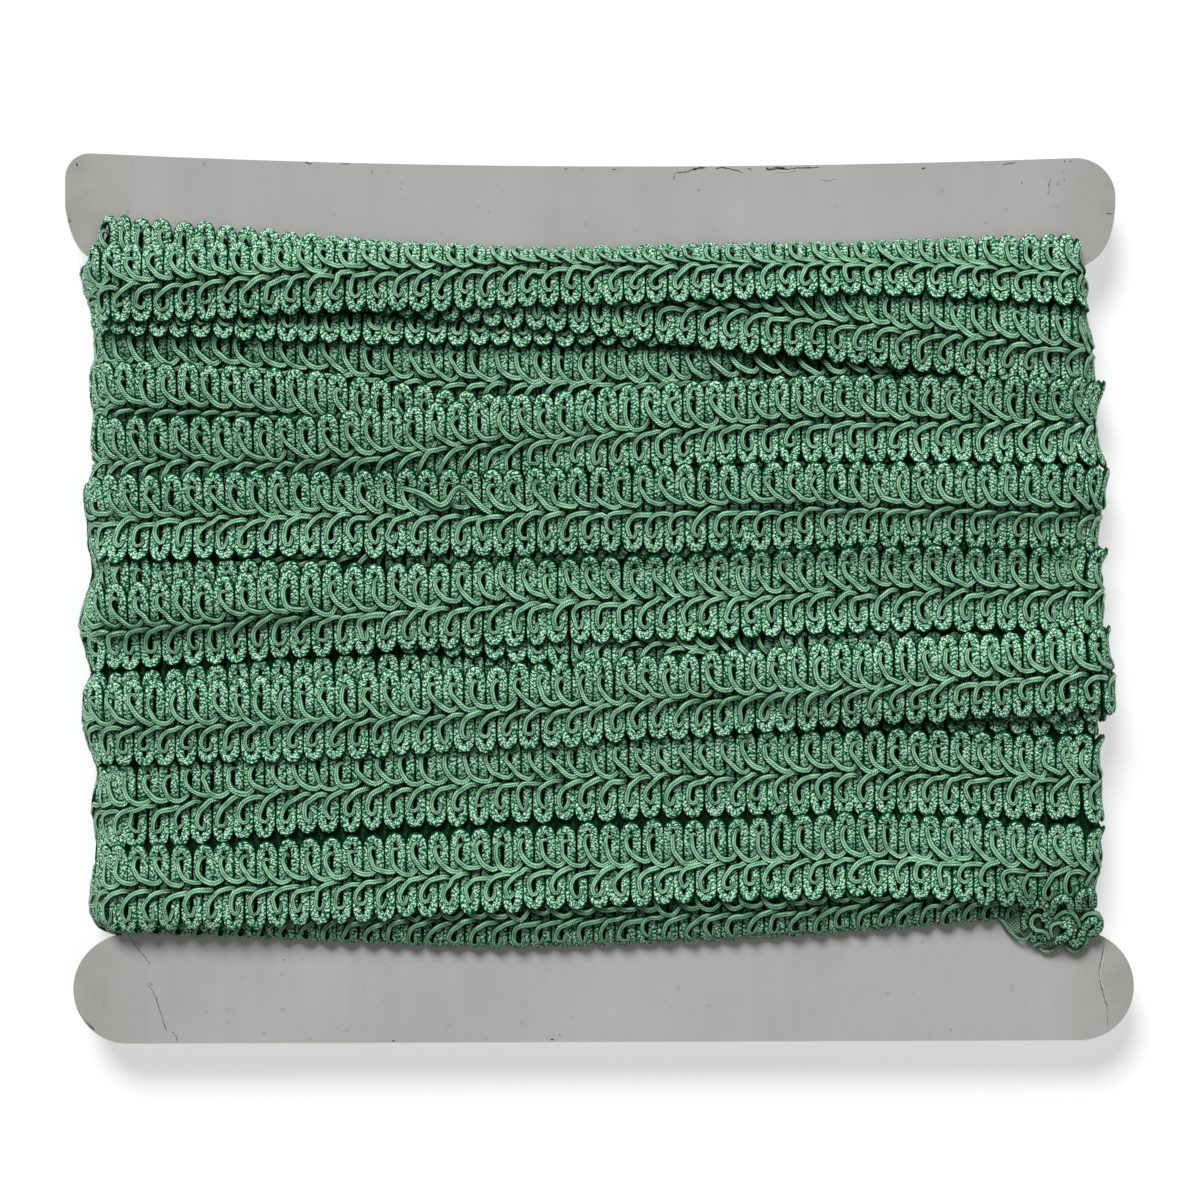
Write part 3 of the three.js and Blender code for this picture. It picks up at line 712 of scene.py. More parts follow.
def serpentine(turn):
    """The plaited cord's line over one turn. It goes to and fro across the width: with t the turn
    of the wave, the way across is a flattened sine of t, and the way along is t less part of a
    sine of twice t, so that each loop is wider than the gap between its legs."""
    first = math.ceil(phase_along(turn, 0.0))
    last = math.ceil(phase_along(turn, LOOP))
    repeats = last - first
    t = np.arange(repeats * CORD_STEPS + 1) * TAU / CORD_STEPS
    wave = np.sin(t)
    flattened = np.sign(wave) * np.abs(wave) ** LEG_FLATNESS
    index = np.minimum((t / TAU).astype(int), repeats - 1)
    top = CORD_TOP + repeat_noise(repeats, REACH_SPREAD)[index]
    bottom = CORD_BOTTOM + repeat_noise(repeats, REACH_SPREAD)[index]
    across = np.where(flattened > 0, top, bottom) * flattened
    lean = repeat_noise(repeats, LEAN_SPREAD)[index] * flattened
    own_shift = repeat_noise(repeats, PLACE_SPREAD)
    shift = np.interp(t / TAU, np.arange(repeats) + 0.5, own_shift)
    turns = (t - LOOP_BULGE / 2 * np.sin(2 * t)) / TAU + first - TOP_SHARE + shift
    loop = loop_at_phase(turn, turns) + lean
    dip = SPINE_DIP * np.exp(-((across / SPINE_DIP_WIDTH) ** 2))
    tip = TIP_LIFT * (np.abs(across) / CORD_TOP) ** TIP_STEEPNESS
    lift = CORD_HALF_THICKNESS + CORD_CLEARANCE - dip + tip
    return loop, across, lift, first, repeats


def build_cord(turn):
    """The plaited cord of one turn, a flat tube along its serpentine line."""
    loop, across, lift, first, repeats = serpentine(turn)
    path = turn_point(turn, loop, across, lift)
    normal = turn_normal(turn, loop, across, lift)
    rings = tube_points(path, normal, CORD_SECTION)
    steps = len(path)
    lengths = np.concatenate([[0], np.cumsum(np.linalg.norm(np.diff(path, axis=0), axis=1))])
    sides = len(CORD_SECTION)
    u = np.repeat(lengths, sides) * UV_PER_MM
    uv = np.stack([u, np.tile(CORD_SECTION[:, 2], steps)], axis=1)
    at_spine = SPINE_SHADE * np.exp(-((across / SPINE_DIP_WIDTH) ** 2))
    openness = np.repeat(turn_openness(turn, loop, across) * (1 - at_spine), sides)
    return (rings.reshape(-1, 3), tube_faces(1, steps, sides), uv, openness), first, repeats


# Gimp strands of one repeat: (along, across, lift, width) in millimetres from the middle of a
# loop's hole, the width as a share of the section's. The upper strand starts over its hole, runs
# down its left and then right to the spine. The lower strand comes off the spine and hooks round
# its hole. Each strand is a mixture of three forms.
ALONG_ROW, ACROSS_ROW, LIFT, WIDTH = range(4)
UPPER_HOLE = 3.45
LOWER_HOLE = -2.66
UPPER_ROUND = np.array([
    (0.30, 0.75, 0.80, 0.56), (-0.05, 1.10, 1.15, 0.62), (-0.44, 0.78, 1.25, 0.70),
    (-0.62, 0.00, 1.28, 0.76), (-0.46, -0.90, 1.32, 0.82), (0.10, -1.72, 1.38, 0.90),
    (0.95, -2.30, 1.44, 0.97), (1.95, -2.52, 1.45, 0.97), (2.80, -2.38, 1.15, 0.90),
    (3.30, -1.95, 0.72, 0.78),
])
UPPER_DEEP = np.array([
    (0.26, 0.66, 0.80, 0.56), (-0.08, 1.05, 1.15, 0.62), (-0.44, 0.70, 1.25, 0.70),
    (-0.58, -0.12, 1.28, 0.76), (-0.40, -1.20, 1.32, 0.82), (0.14, -2.22, 1.40, 0.90),
    (0.95, -3.05, 1.48, 0.97), (1.90, -3.38, 1.50, 0.98), (2.75, -3.00, 1.18, 0.92),
    (3.25, -2.15, 0.70, 0.80),
])
UPPER_SLOPING = np.array([
    (0.42, 0.25, 0.80, 0.56), (0.20, 0.98, 1.15, 0.62), (-0.30, 0.98, 1.25, 0.68),
    (-0.48, 0.20, 1.28, 0.74), (-0.02, -0.70, 1.34, 0.80), (0.70, -1.52, 1.40, 0.88),
    (1.48, -2.26, 1.46, 0.95), (2.28, -2.88, 1.48, 0.97), (3.00, -3.05, 1.15, 0.92),
    (3.55, -2.65, 0.70, 0.80),
])
LOWER_ROUND = np.array([
    (3.25, 2.15, 0.55, 0.84), (2.45, 2.38, 1.10, 0.97), (1.50, 2.22, 1.42, 0.97),
    (0.60, 1.82, 1.42, 0.93), (-0.18, 1.14, 1.36, 0.87), (-0.62, 0.15, 1.30, 0.80),
    (-0.52, -0.90, 1.26, 0.76), (0.03, -1.40, 1.22, 0.72), (0.55, -0.95, 1.16, 0.70),
    (0.58, -0.05, 0.95, 0.62),
])
LOWER_STEEP = np.array([
    (3.10, 2.70, 0.55, 0.84), (2.40, 2.92, 1.05, 0.96), (1.60, 2.62, 1.42, 0.97),
    (0.85, 2.20, 1.44, 0.94), (0.10, 1.50, 1.38, 0.88), (-0.54, 0.50, 1.32, 0.82),
    (-0.68, -0.52, 1.28, 0.77), (-0.28, -1.30, 1.22, 0.73), (0.36, -1.22, 1.15, 0.70),
    (0.58, -0.42, 0.95, 0.62),
])
LOWER_FLAT = np.array([
    (3.35, 2.00, 0.55, 0.84), (2.55, 2.10, 1.10, 0.97), (1.65, 2.16, 1.42, 0.97),
    (0.72, 2.10, 1.42, 0.93), (-0.22, 1.78, 1.36, 0.87), (-0.68, 0.80, 1.30, 0.80),
    (-0.62, -0.25, 1.26, 0.76), (-0.18, -1.00, 1.22, 0.72), (0.42, -0.85, 1.15, 0.70),
    (0.56, -0.08, 0.95, 0.62),
])
UPPER_FORMS = (UPPER_ROUND, UPPER_DEEP, UPPER_SLOPING)
LOWER_FORMS = (LOWER_ROUND, LOWER_STEEP, LOWER_FLAT)
STRAND_STEPS = 15
# How the forms are mixed: the repeats over which the mixture drifts, the spread of its random
# parts, and how much one form wins over the others
FORM_DRIFT = 9
FORM_SPREAD = 0.8
FORM_CONTRAST = 2.0
# Share of their lift that the strands lose where the braid is pulled tight round the sides
SIDE_PRESS = 0.4
# How much painted shade darkens a strand at its ends, where it goes under, and where its ends begin
END_SHADE = 0.5
END_START = 0.7
# How much the strands differ: the spread and the limits of how tall and wide their curls are, the
# spread of their lean, of their place along and across the braid, of each point and of the width
TALL_SPREAD, TALL_LIMITS = 0.16, (0.6, 1.45)
WIDE_SPREAD, WIDE_LIMITS = 0.14, (0.7, 1.4)
STRAND_LEAN = 0.09
STRAND_ALONG = 0.13
STRAND_ACROSS = 0.14
STRAND_WANDER = 0.085
WIDTH_SPREAD = 0.09
# A strand's curl goes from the hole's far side to this distance past the hole's middle
CURL_END = -0.5
# Each strand's threads start anywhere in this length
THREAD_START = 10


def smooth_path(points, steps):
    """Points on a Catmull-Rom curve through the given points, whose second last axis runs along."""
    count = points.shape[-2]
    before = 2 * points[..., :1, :] - points[..., 1:2, :]
    after = 2 * points[..., -1:, :] - points[..., -2:-1, :]
    padded = np.concatenate([before, points, after], axis=-2)
    at = np.linspace(0, count - 1, steps)
    i = np.minimum(at.astype(int), count - 2)
    f = (at - i)[:, None]
    p0, p1, p2, p3 = (padded[..., i + k, :] for k in range(4))
    return 0.5 * (2 * p1 + (p2 - p0) * f + (2 * p0 - 5 * p1 + 4 * p2 - p3) * f ** 2
                  + (3 * p1 - p0 - 3 * p2 + p3) * f ** 3)


def mix_of_forms(forms, count):
    """The outlines of count strands, each a mixture of the forms. The shares are eased powers of
    random numbers: one part drifts slowly along the row, one is new for each strand."""
    ends = np.arange(0, count + FORM_DRIFT, FORM_DRIFT)
    places = np.arange(count)
    drift = [np.interp(places, ends, rng.normal(0, FORM_SPREAD, len(ends))) for _ in forms]
    own = rng.normal(0, FORM_SPREAD, (len(forms), count))
    weight = np.exp(FORM_CONTRAST * (np.array(drift) + own))
    weight /= weight.sum(axis=0)
    return np.einsum("fc,fpk->cpk", weight, np.array(forms))


def build_strands(turn, forms, hole, half_step, first, repeats):
    """The gimp strands on one side of a turn's spine, each a little different from the next."""
    places = first + np.arange(repeats) + half_step
    loops = loop_at_phase(turn, places)
    count = len(loops)
    points = mix_of_forms(forms, count)
    tall = np.clip(1 + rng.normal(0, TALL_SPREAD, count), *TALL_LIMITS)
    wide = np.clip(1 + rng.normal(0, WIDE_SPREAD, count), *WIDE_LIMITS)
    along_row, across_row = points[:, :, ALONG_ROW], points[:, :, ACROSS_ROW]
    from_hole = across_row * np.sign(hole)
    curl = from_hole > CURL_END
    from_hole = np.where(curl, from_hole * tall[:, None], from_hole)
    across_row[:] = from_hole * np.sign(hole)
    along_row[:] = np.where(curl, along_row * wide[:, None], along_row)
    along_row += rng.normal(0, STRAND_LEAN, count)[:, None] * across_row
    along_row += rng.normal(0, STRAND_ALONG, count)[:, None]
    across_row += rng.normal(0, STRAND_ACROSS, count)[:, None]
    points[:, :, :LIFT] += rng.normal(0, STRAND_WANDER, (count, points.shape[1], 2))
    points[:, :, WIDTH] *= 1 + rng.normal(0, WIDTH_SPREAD, count)[:, None]
    path = smooth_path(points, STRAND_STEPS)
    loop = loops[:, None] + path[:, :, ALONG_ROW]
    across = hole + path[:, :, ACROSS_ROW]
    pressed = SIDE_PRESS * round_side_share(outside_angle(loop % LOOP))
    lift = path[:, :, LIFT] * (1 - pressed)
    spots = turn_point(turn, loop, across, lift)
    normal = turn_normal(turn, loop, across, lift)
    to_end = smooth_share(np.abs(np.linspace(-1, 1, STRAND_STEPS)), END_START, 1.0)
    openness = turn_openness(turn, loop, across) * (1 - END_SHADE * to_end)
    return strand_mesh(spots, normal, path[:, :, WIDTH], openness)


def strand_mesh(spots, normal, width, openness):
    """Gimp strands along rows of points, with their own width and openness there: points, faces,
    UV and the points' openness."""
    count, steps = spots.shape[:2]
    rings = tube_points(spots, normal, GIMP_SECTION, width)
    sides = len(GIMP_SECTION)
    steps_long = np.linalg.norm(np.diff(spots, axis=1, prepend=spots[:, :1]), axis=2)
    lengths = np.cumsum(steps_long, axis=1)
    lengths += rng.uniform(0, THREAD_START, count)[:, None]
    u = np.repeat(lengths.ravel() * UV_PER_MM, sides)
    v = np.tile(GIMP_SECTION[:, 2], count * steps)
    faces = tube_faces(count, steps, sides)
    return rings.reshape(-1, 3), faces, np.stack([u, v], axis=1), np.repeat(openness.ravel(), sides)


# Materials


class Nodes:
    """Short ways to add and join the shader nodes of one material."""

    def __init__(self, name):
        """A new material, with the plain shader that every material starts with."""
        self.material = bpy.data.materials.new(name)
        self.material.use_nodes = True
        self.tree = self.material.node_tree
        self.shader = self.tree.nodes["Principled BSDF"]

    def add(self, kind, **values):
        """A new node of a kind, with its settings."""
        node = self.tree.nodes.new(kind)
        for key, value in values.items():
            setattr(node, key, value)
        return node

    def give(self, socket, given):
        """Puts a number, a colour or another node's output on a socket."""
        if isinstance(given, bpy.types.NodeSocket):
            self.tree.links.new(given, socket)
        elif isinstance(given, tuple) and len(given) == 3 and len(socket.default_value) == 4:
            socket.default_value = (*given, 1)
        else:
            socket.default_value = given

    def surface(self, **values):
        """Sets the shader's own sockets. A socket's name is written with _ for each space."""
        for name, given in values.items():
            self.give(self.shader.inputs[name.replace("_", " ")], given)

    def value(self, operation, a, b=None):
        """The result of a sum on one or two values."""
        node = self.add("ShaderNodeMath", operation=operation)
        for slot, given in zip(node.inputs, (a, b)):
            if given is not None:
                self.give(slot, given)
        return node.outputs[0]

    def pair(self, a, b):
        """A place on a flat pattern, from its two coordinates."""
        node = self.add("ShaderNodeCombineXYZ")
        self.give(node.inputs[0], a)
        self.give(node.inputs[1], b)
        return node.outputs[0]

    def place(self):
        """The place on the piece, in its own coordinates."""
        return self.add("ShaderNodeTexCoord").outputs["Object"]

    def mapped(self, vector, scale=(1, 1, 1), turn=0.0):
        """A place scaled, or turned about the upright axis."""
        node = self.add("ShaderNodeMapping")
        node.inputs["Rotation"].default_value = (0, 0, turn)
        node.inputs["Scale"].default_value = scale
        self.give(node.inputs["Vector"], vector)
        return node.outputs[0]

    def ramp(self, factor, stops):
        """The colour at a factor, between the colours of (position, colour) stops."""
        node = self.add("ShaderNodeValToRGB")
        band = node.color_ramp
        while len(band.elements) < len(stops):
            band.elements.new(0.5)
        for element, (position, colour) in zip(band.elements, stops):
            element.position = position
            element.color = (*colour, 1)
        self.give(node.inputs[0], factor)
        return node.outputs[0]

    def rise(self, factor, start, end, last=1.0, eased=False):
        """A value that goes from 0 at start to last at end and stays there, straight or eased."""
        kind = "SMOOTHSTEP" if eased else "LINEAR"
        node = self.add("ShaderNodeMapRange", interpolation_type=kind)
        node.inputs["From Min"].default_value = start
        node.inputs["From Max"].default_value = end
        node.inputs["To Max"].default_value = last
        self.give(node.inputs["Value"], factor)
        return node.outputs[0]

    def mix(self, factor, a, b, how="MIX"):
        """Two colours mixed by a factor."""
        node = self.add("ShaderNodeMix", data_type="RGBA", blend_type=how)
        for slot, given in ((node.inputs[0], factor), (node.inputs[6], a), (node.inputs[7], b)):
            self.give(slot, given)
        return node.outputs[2]

    def tinted(self, colour, tint):
        """A colour times a tint."""
        return self.mix(1.0, colour, tint, "MULTIPLY")

    def noise(self, vector, scale, detail=2.0):
        """A cloudy value from 0 to 1."""
        node = self.add("ShaderNodeTexNoise")
        node.inputs["Scale"].default_value = scale
        node.inputs["Detail"].default_value = detail
        self.give(node.inputs["Vector"], vector)
        return node.outputs["Fac"]

    def bands(self, vector, direction, scale, distortion, detail=2.0):
        """A value from 0 to 1 in wavering bands."""
        node = self.add("ShaderNodeTexWave", wave_type="BANDS", bands_direction=direction)
        node.inputs["Scale"].default_value = scale
        node.inputs["Distortion"].default_value = distortion
        node.inputs["Detail"].default_value = detail
        self.give(node.inputs["Vector"], vector)
        return node.outputs["Fac"]

    def cells(self, vector, scale, unevenness=1.0, ways="3D"):
        """Cells side by side: the distance from a cell's middle, and a random value a cell."""
        node = self.add("ShaderNodeTexVoronoi", voronoi_dimensions=ways)
        node.inputs["Scale"].default_value = scale
        node.inputs["Randomness"].default_value = unevenness
        self.give(node.inputs["Vector"], vector)
        split = self.add("ShaderNodeSeparateColor")
        self.give(split.inputs[0], node.outputs["Color"])
        return node.outputs["Distance"], split.outputs[0]

    def bump(self, height, strength, distance):
        """The direction of a surface raised by a height, whose full rise is in metres."""
        node = self.add("ShaderNodeBump")
        node.inputs["Strength"].default_value = strength
        node.inputs["Distance"].default_value = distance
        self.give(node.inputs["Height"], height)
        return node.outputs["Normal"]


def linear(red, green, blue):
    """Linear colour from 0 to 255 values as the eye sees them: each channel less its toe, to the
    power 2.4, and a straight line near black."""
    channel = np.array([red, green, blue]) / 255
    straight_part = channel / 12.92
    curved_part = ((channel + 0.055) / 1.055) ** 2.4
    return tuple(np.where(channel <= 0.04045, straight_part, curved_part).tolist())


def grey(level):
    """A grey tint of one level."""
    return level, level, level


# The braid's greens: the first two are painted shade, the third the dye, the fourth and fifth
# painted highlights, and the last the painted shade where the braid is closed in.
DEEP_GREEN = linear(0, 56, 29)
SHADE_GREEN = linear(8, 88, 50)
MID_GREEN = linear(78, 146, 108)
LIGHT_GREEN = linear(148, 208, 172)
PALE_GREEN = linear(216, 252, 226)
PAINTED_SHADE_GREEN = linear(0, 44, 21)
SHEEN_TINT = (0.62, 1.0, 0.76, 1)

# The width of the pattern for a whole way round a strand, in millimetres, and the share of the way
# round at which the middle of its face lies
CORD_GIRTH = 3.4
FACE_MIDDLE = 0.25


def cord_lengths(nodes):
    """Distance along a strand and across its face from the middle line, both in millimetres, and
    the share of the way round it."""
    uv = nodes.add("ShaderNodeUVMap", uv_map="strand")
    split = nodes.add("ShaderNodeSeparateXYZ")
    nodes.give(split.inputs[0], uv.outputs[0])
    along = nodes.value("MULTIPLY", split.outputs[0], 1 / UV_PER_MM)
    from_middle = nodes.value("SUBTRACT", split.outputs[1], FACE_MIDDLE)
    return along, nodes.value("MULTIPLY", from_middle, CORD_GIRTH), split.outputs[1]


def painted_shade_when_closed(nodes, colour):
    """A colour with painted shade: deep green where the openness attribute is low, as under other
    turns.
    """
    openness = nodes.add("ShaderNodeAttribute", attribute_name="openness")
    return nodes.mix(openness.outputs["Fac"], PAINTED_SHADE_GREEN, colour)


def sheen_when_open(nodes, sheen):
    """The fibre's sheen, which fades where the braid is closed in by other turns."""
    openness = nodes.add("ShaderNodeAttribute", attribute_name="openness")
    level = nodes.value("MULTIPLY", openness.outputs["Fac"], sheen)
    nodes.surface(Specular_IOR_Level=level, Specular_Tint=SHEEN_TINT)


# The plaited cord's stitches: their size in millimetres, their slant, and the shift along the cord
# that makes its two sides differ
STITCH_LENGTH = 0.50
STITCH_WIDTH = 0.22
STITCH_SLANT = math.radians(-34)
STITCH_UNEVENNESS = 0.7
OTHER_SIDE_SHIFT = 37.3
# A stitch's tone, painted light and shade over the dye: where its round top ends and begins, how
# bright the painted highlights on the tops are at least and how much brighter at most, the tone of
# the painted shade in the gaps, and the cord's edges with the painted shade that darkens them
TOP_END = 0.64
TOP_START = 0.20
LEAST_GLINT = 0.48
MORE_GLINT = 0.38
GAP_TONE = 0.24
EDGE_START = 0.24
EDGE_END = 0.64
EDGE_PAINTED_SHADE = -0.86
STITCH_SHADE_DYE_GLINT = [
    (0.05, DEEP_GREEN), (0.25, SHADE_GREEN), (0.50, MID_GREEN), (0.72, LIGHT_GREEN),
    (0.94, PALE_GREEN),
]


def plaited_cord_material():
    """Fine plaited filament cord: short glossy stitches that slant from the middle of the cord to
    both sides, each with a painted highlight of its own brightness, between gaps of painted shade,
    and painted shade where the cord turns down at its edges."""
    nodes = Nodes("plaited_cord")
    along, across, _ = cord_lengths(nodes)
    from_middle = nodes.value("ABSOLUTE", across)
    upper_side = nodes.value("GREATER_THAN", across, 0.0)
    shifted = nodes.value("ADD", along, nodes.value("MULTIPLY", upper_side, OTHER_SIDE_SHIFT))
    slanted = nodes.mapped(nodes.pair(shifted, from_middle), turn=STITCH_SLANT)
    stitches = nodes.mapped(slanted, scale=(1 / STITCH_LENGTH, 1 / STITCH_WIDTH, 1))
    away, own = nodes.cells(stitches, scale=1.0, unevenness=STITCH_UNEVENNESS, ways="2D")
    round_top = nodes.rise(away, TOP_END, TOP_START, eased=True)
    glint = nodes.value("ADD", nodes.value("MULTIPLY", own, MORE_GLINT), LEAST_GLINT)
    tone = nodes.value("ADD", nodes.value("MULTIPLY", round_top, glint), GAP_TONE)
    edge = nodes.rise(from_middle, EDGE_START, EDGE_END, EDGE_PAINTED_SHADE, eased=True)
    colour = nodes.ramp(nodes.value("ADD", tone, edge), STITCH_SHADE_DYE_GLINT)
    nodes.surface(
        Base_Color=painted_shade_when_closed(nodes, colour),
        Roughness=0.5,
        Normal=nodes.bump(round_top, strength=0.9, distance=0.00016),
    )
    sheen_when_open(nodes, 0.12)
    return nodes.material


# The two plies of a gimp strand round its section: dark edges, a light ridge along each ply and a
# dark valley between them, as colours and as heights. In the colours the dark edges and valley
# are painted shade and the light ridges painted highlights.
PLY_SHADE_AND_HIGHLIGHTS = [
    (0.0, linear(0, 30, 14)), (0.09, linear(2, 56, 30)), (0.14, linear(84, 146, 108)),
    (0.19, linear(180, 236, 198)), (0.25, linear(56, 118, 82)), (0.31, linear(180, 236, 198)),
    (0.36, linear(84, 146, 108)), (0.41, linear(2, 56, 30)), (0.5, linear(0, 30, 14)),
    (0.6, linear(0, 24, 10)),
]
PLY_HEIGHTS = [
    (0.0, grey(0)), (0.11, grey(1)), (0.17, grey(1)), (0.25, grey(0)), (0.33, grey(1)),
    (0.39, grey(1)), (0.5, grey(0)),
]
PLY_HEIGHT_SHARE = 0.8
THREAD_TINTS = [(0.1, (0.60, 0.64, 0.61)), (0.9, (1.22, 1.18, 1.20))]
PATCH_TINTS = [(0.36, (0.50, 0.56, 0.52)), (0.64, (1.28, 1.22, 1.25))]
# Width of the threads' pattern for a whole way round, and the patches' size along and round
THREAD_GIRTH = 2.6
PATCHES_ALONG = 0.55
PATCHES_ROUND = 5.0


def gimp_strand_material():
    """Satin floss wound round two plies: a painted highlight along each ply's ridge, painted shade
    in the valley between them and on its edges, crossed by fine slanting threads."""
    nodes = Nodes("gimp_strand")
    along, _, around_share = cord_lengths(nodes)
    place = nodes.pair(along, nodes.value("MULTIPLY", around_share, THREAD_GIRTH))
    threads = nodes.bands(place, "DIAGONAL", scale=1.6, distortion=1.5)
    colour = nodes.ramp(around_share, PLY_SHADE_AND_HIGHLIGHTS)
    colour = nodes.tinted(colour, nodes.ramp(threads, THREAD_TINTS))
    long_way = nodes.pair(
        nodes.value("MULTIPLY", along, PATCHES_ALONG),
        nodes.value("MULTIPLY", around_share, PATCHES_ROUND),
    )
    patches = nodes.noise(long_way, scale=1.0, detail=3.0)
    colour = nodes.tinted(colour, nodes.ramp(patches, PATCH_TINTS))
    ridges = nodes.value("MULTIPLY", nodes.ramp(around_share, PLY_HEIGHTS), PLY_HEIGHT_SHARE)
    nodes.surface(
        Base_Color=painted_shade_when_closed(nodes, colour),
        Roughness=0.30,
        Normal=nodes.bump(nodes.value("ADD", ridges, threads), strength=0.9, distance=0.00010),
    )
    sheen_when_open(nodes, 0.50)
    return nodes.material


def core_material():
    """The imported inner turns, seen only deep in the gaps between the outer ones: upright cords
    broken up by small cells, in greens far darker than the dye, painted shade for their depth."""
    nodes = Nodes("packed_braid")
    place = nodes.place()
    _, own = nodes.cells(place, scale=3000.0)
    cords = nodes.bands(place, "X", scale=205.0, distortion=2.0)
    colour = nodes.ramp(nodes.value("MULTIPLY", own, cords), [
        (0.0, linear(0, 22, 9)), (0.5, linear(0, 44, 21)), (1.0, linear(14, 72, 42)),
    ])
    nodes.surface(
        Base_Color=colour,
        Roughness=0.85,
        Specular_IOR_Level=0.15,
        Normal=nodes.bump(cords, strength=0.8, distance=0.0005),
    )
    return nodes.material


# Heights up the card between which painted shade darkens it towards its top, and the distances
# from its middle between which it gets grimy, in metres
TOP_SHADE_FROM, TOP_SHADE_TO = -0.040, 0.045
GRIME_FROM, GRIME_TO = 0.066, 0.080
GRIME = linear(138, 134, 126)


def card_material():
    """Smooth white-coated board, a little mottled, with faint upright streaks from the coating,
    small specks, a touch of grime near its ends and a little painted shade towards its top."""
    nodes = Nodes("coated_board")
    place = nodes.place()
    mottle = nodes.noise(place, scale=55.0, detail=4.0)
    colour = nodes.ramp(mottle, [(0.3, linear(162, 163, 160)), (0.7, linear(171, 172, 169))])
    streaks = nodes.noise(nodes.mapped(place, scale=(1, 0.12, 1)), scale=420.0, detail=3.0)
    colour = nodes.tinted(colour, nodes.ramp(streaks, [(0.35, grey(0.98)), (0.65, grey(1.01))]))
    specks = nodes.noise(place, scale=900.0)
    speck_tint = nodes.ramp(specks, [(0.70, grey(1)), (0.76, (0.80, 0.79, 0.76))])
    colour = nodes.tinted(colour, speck_tint)
    split = nodes.add("ShaderNodeSeparateXYZ")
    nodes.give(split.inputs[0], place)
    top_shade = nodes.rise(split.outputs[1], TOP_SHADE_FROM, TOP_SHADE_TO)
    colour = nodes.mix(top_shade, colour, grey(0.965), "MULTIPLY")
    near_end = nodes.rise(nodes.value("ABSOLUTE", split.outputs[0]), GRIME_FROM, GRIME_TO)
    grime = nodes.value("MULTIPLY", near_end, nodes.noise(place, scale=240.0, detail=5.0))
    grain = nodes.noise(place, scale=2600.0, detail=3.0)
    nodes.surface(
        Base_Color=nodes.mix(grime, colour, GRIME),
        Roughness=0.62,
        Specular_IOR_Level=0.3,
        Normal=nodes.bump(grain, strength=0.12, distance=0.00005),
    )
    return nodes.material


def wear_material(name, light, dark, scale):
    """A torn or cracked line in the board: its colour breaks up along it."""
    nodes = Nodes(name)
    patch = nodes.noise(nodes.place(), scale, detail=3.0)
    nodes.surface(
        Base_Color=nodes.ramp(patch, [(0.38, dark), (0.62, light)]),
        Roughness=0.9,
        Specular_IOR_Level=0.1,
    )
    return nodes.material


FRAYED_COLOURS = [
    (0.10, linear(24, 58, 38)), (0.35, linear(88, 118, 92)), (0.60, linear(150, 178, 152)),
]


def fuzzy_braid_material():
    """The cut end's loosened plait: crossed fine threads over dark green, light where frayed."""
    nodes = Nodes("frayed_braid")
    place = nodes.place()
    crossed = []
    for lean in (1, -1):
        way = nodes.mapped(place, scale=(lean, 1, 0))
        crossed.append(nodes.bands(way, "DIAGONAL", scale=1300.0, distortion=2.5, detail=3.0))
    weave = nodes.value("MAXIMUM", *crossed)
    tone = nodes.value("MULTIPLY", weave, nodes.noise(place, scale=3200.0, detail=3.0))
    nodes.surface(
        Base_Color=painted_shade_when_closed(nodes, nodes.ramp(tone, FRAYED_COLOURS)),
        Roughness=0.8,
        Specular_IOR_Level=0.2,
        Normal=nodes.bump(tone, strength=0.9, distance=0.0002),
    )
    return nodes.material


PLAIT = plaited_cord_material()
GIMP = gimp_strand_material()
CORE = core_material()
BOARD = card_material()
FRAYED = fuzzy_braid_material()
TORN = wear_material("torn_board", linear(120, 112, 98), linear(52, 48, 40), 900.0)
CRACK = wear_material("cracked_coating", linear(140, 139, 134), linear(88, 87, 82), 700.0)
RAISED = wear_material("raised_coating", linear(188, 189, 186), linear(170, 171, 168), 300.0)

# Pieces of the winding


def join_parts(parts):
    """Several (points, faces, uv, openness) meshes as one, with a material number for each."""
    points = []
    faces = []
    uvs = []
    open_shares = []
    numbers = []
    start = 0
    for number, (spots, polygons, uv, openness) in parts:
        points.append(spots)
        faces.extend([[corner + start for corner in polygon] for polygon in polygons])
        uvs.append(uv)
        open_shares.append(openness)
        numbers.extend([number] * len(polygons))
        start += len(spots)
    points, uvs, open_shares = (np.concatenate(rows) for rows in (points, uvs, open_shares))
    return points, faces, uvs, open_shares, numbers


# Place of the strands of each row along a repeat: over the upper hole, and half way on
UPPER_STEP = 0.0
LOWER_STEP = 0.5


def build_turn(turn):
    """One outer turn of the winding: its plaited cord and the gimp strands of its spine."""
    cord, first, repeats = build_cord(turn)
    upper = build_strands(turn, UPPER_FORMS, UPPER_HOLE, UPPER_STEP, first, repeats)
    lower = build_strands(turn, LOWER_FORMS, LOWER_HOLE, LOWER_STEP, first, repeats)
    points, faces, uv, openness, numbers = join_parts([(0, cord), (1, upper), (1, lower)])
    piece = make_piece("turn_" + TURNS[turn].name, points, faces, [PLAIT, GIMP], uv, numbers,
                       openness=openness)


# How far inside the outer turns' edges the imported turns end, and the room that they leave for the
# card, over its faces and past the bottoms of its notches
CORE_INSET = 1.6
FACE_ROOM = 0.15
NOTCH_ROOM = 1.35
CORE_STEPS = 90


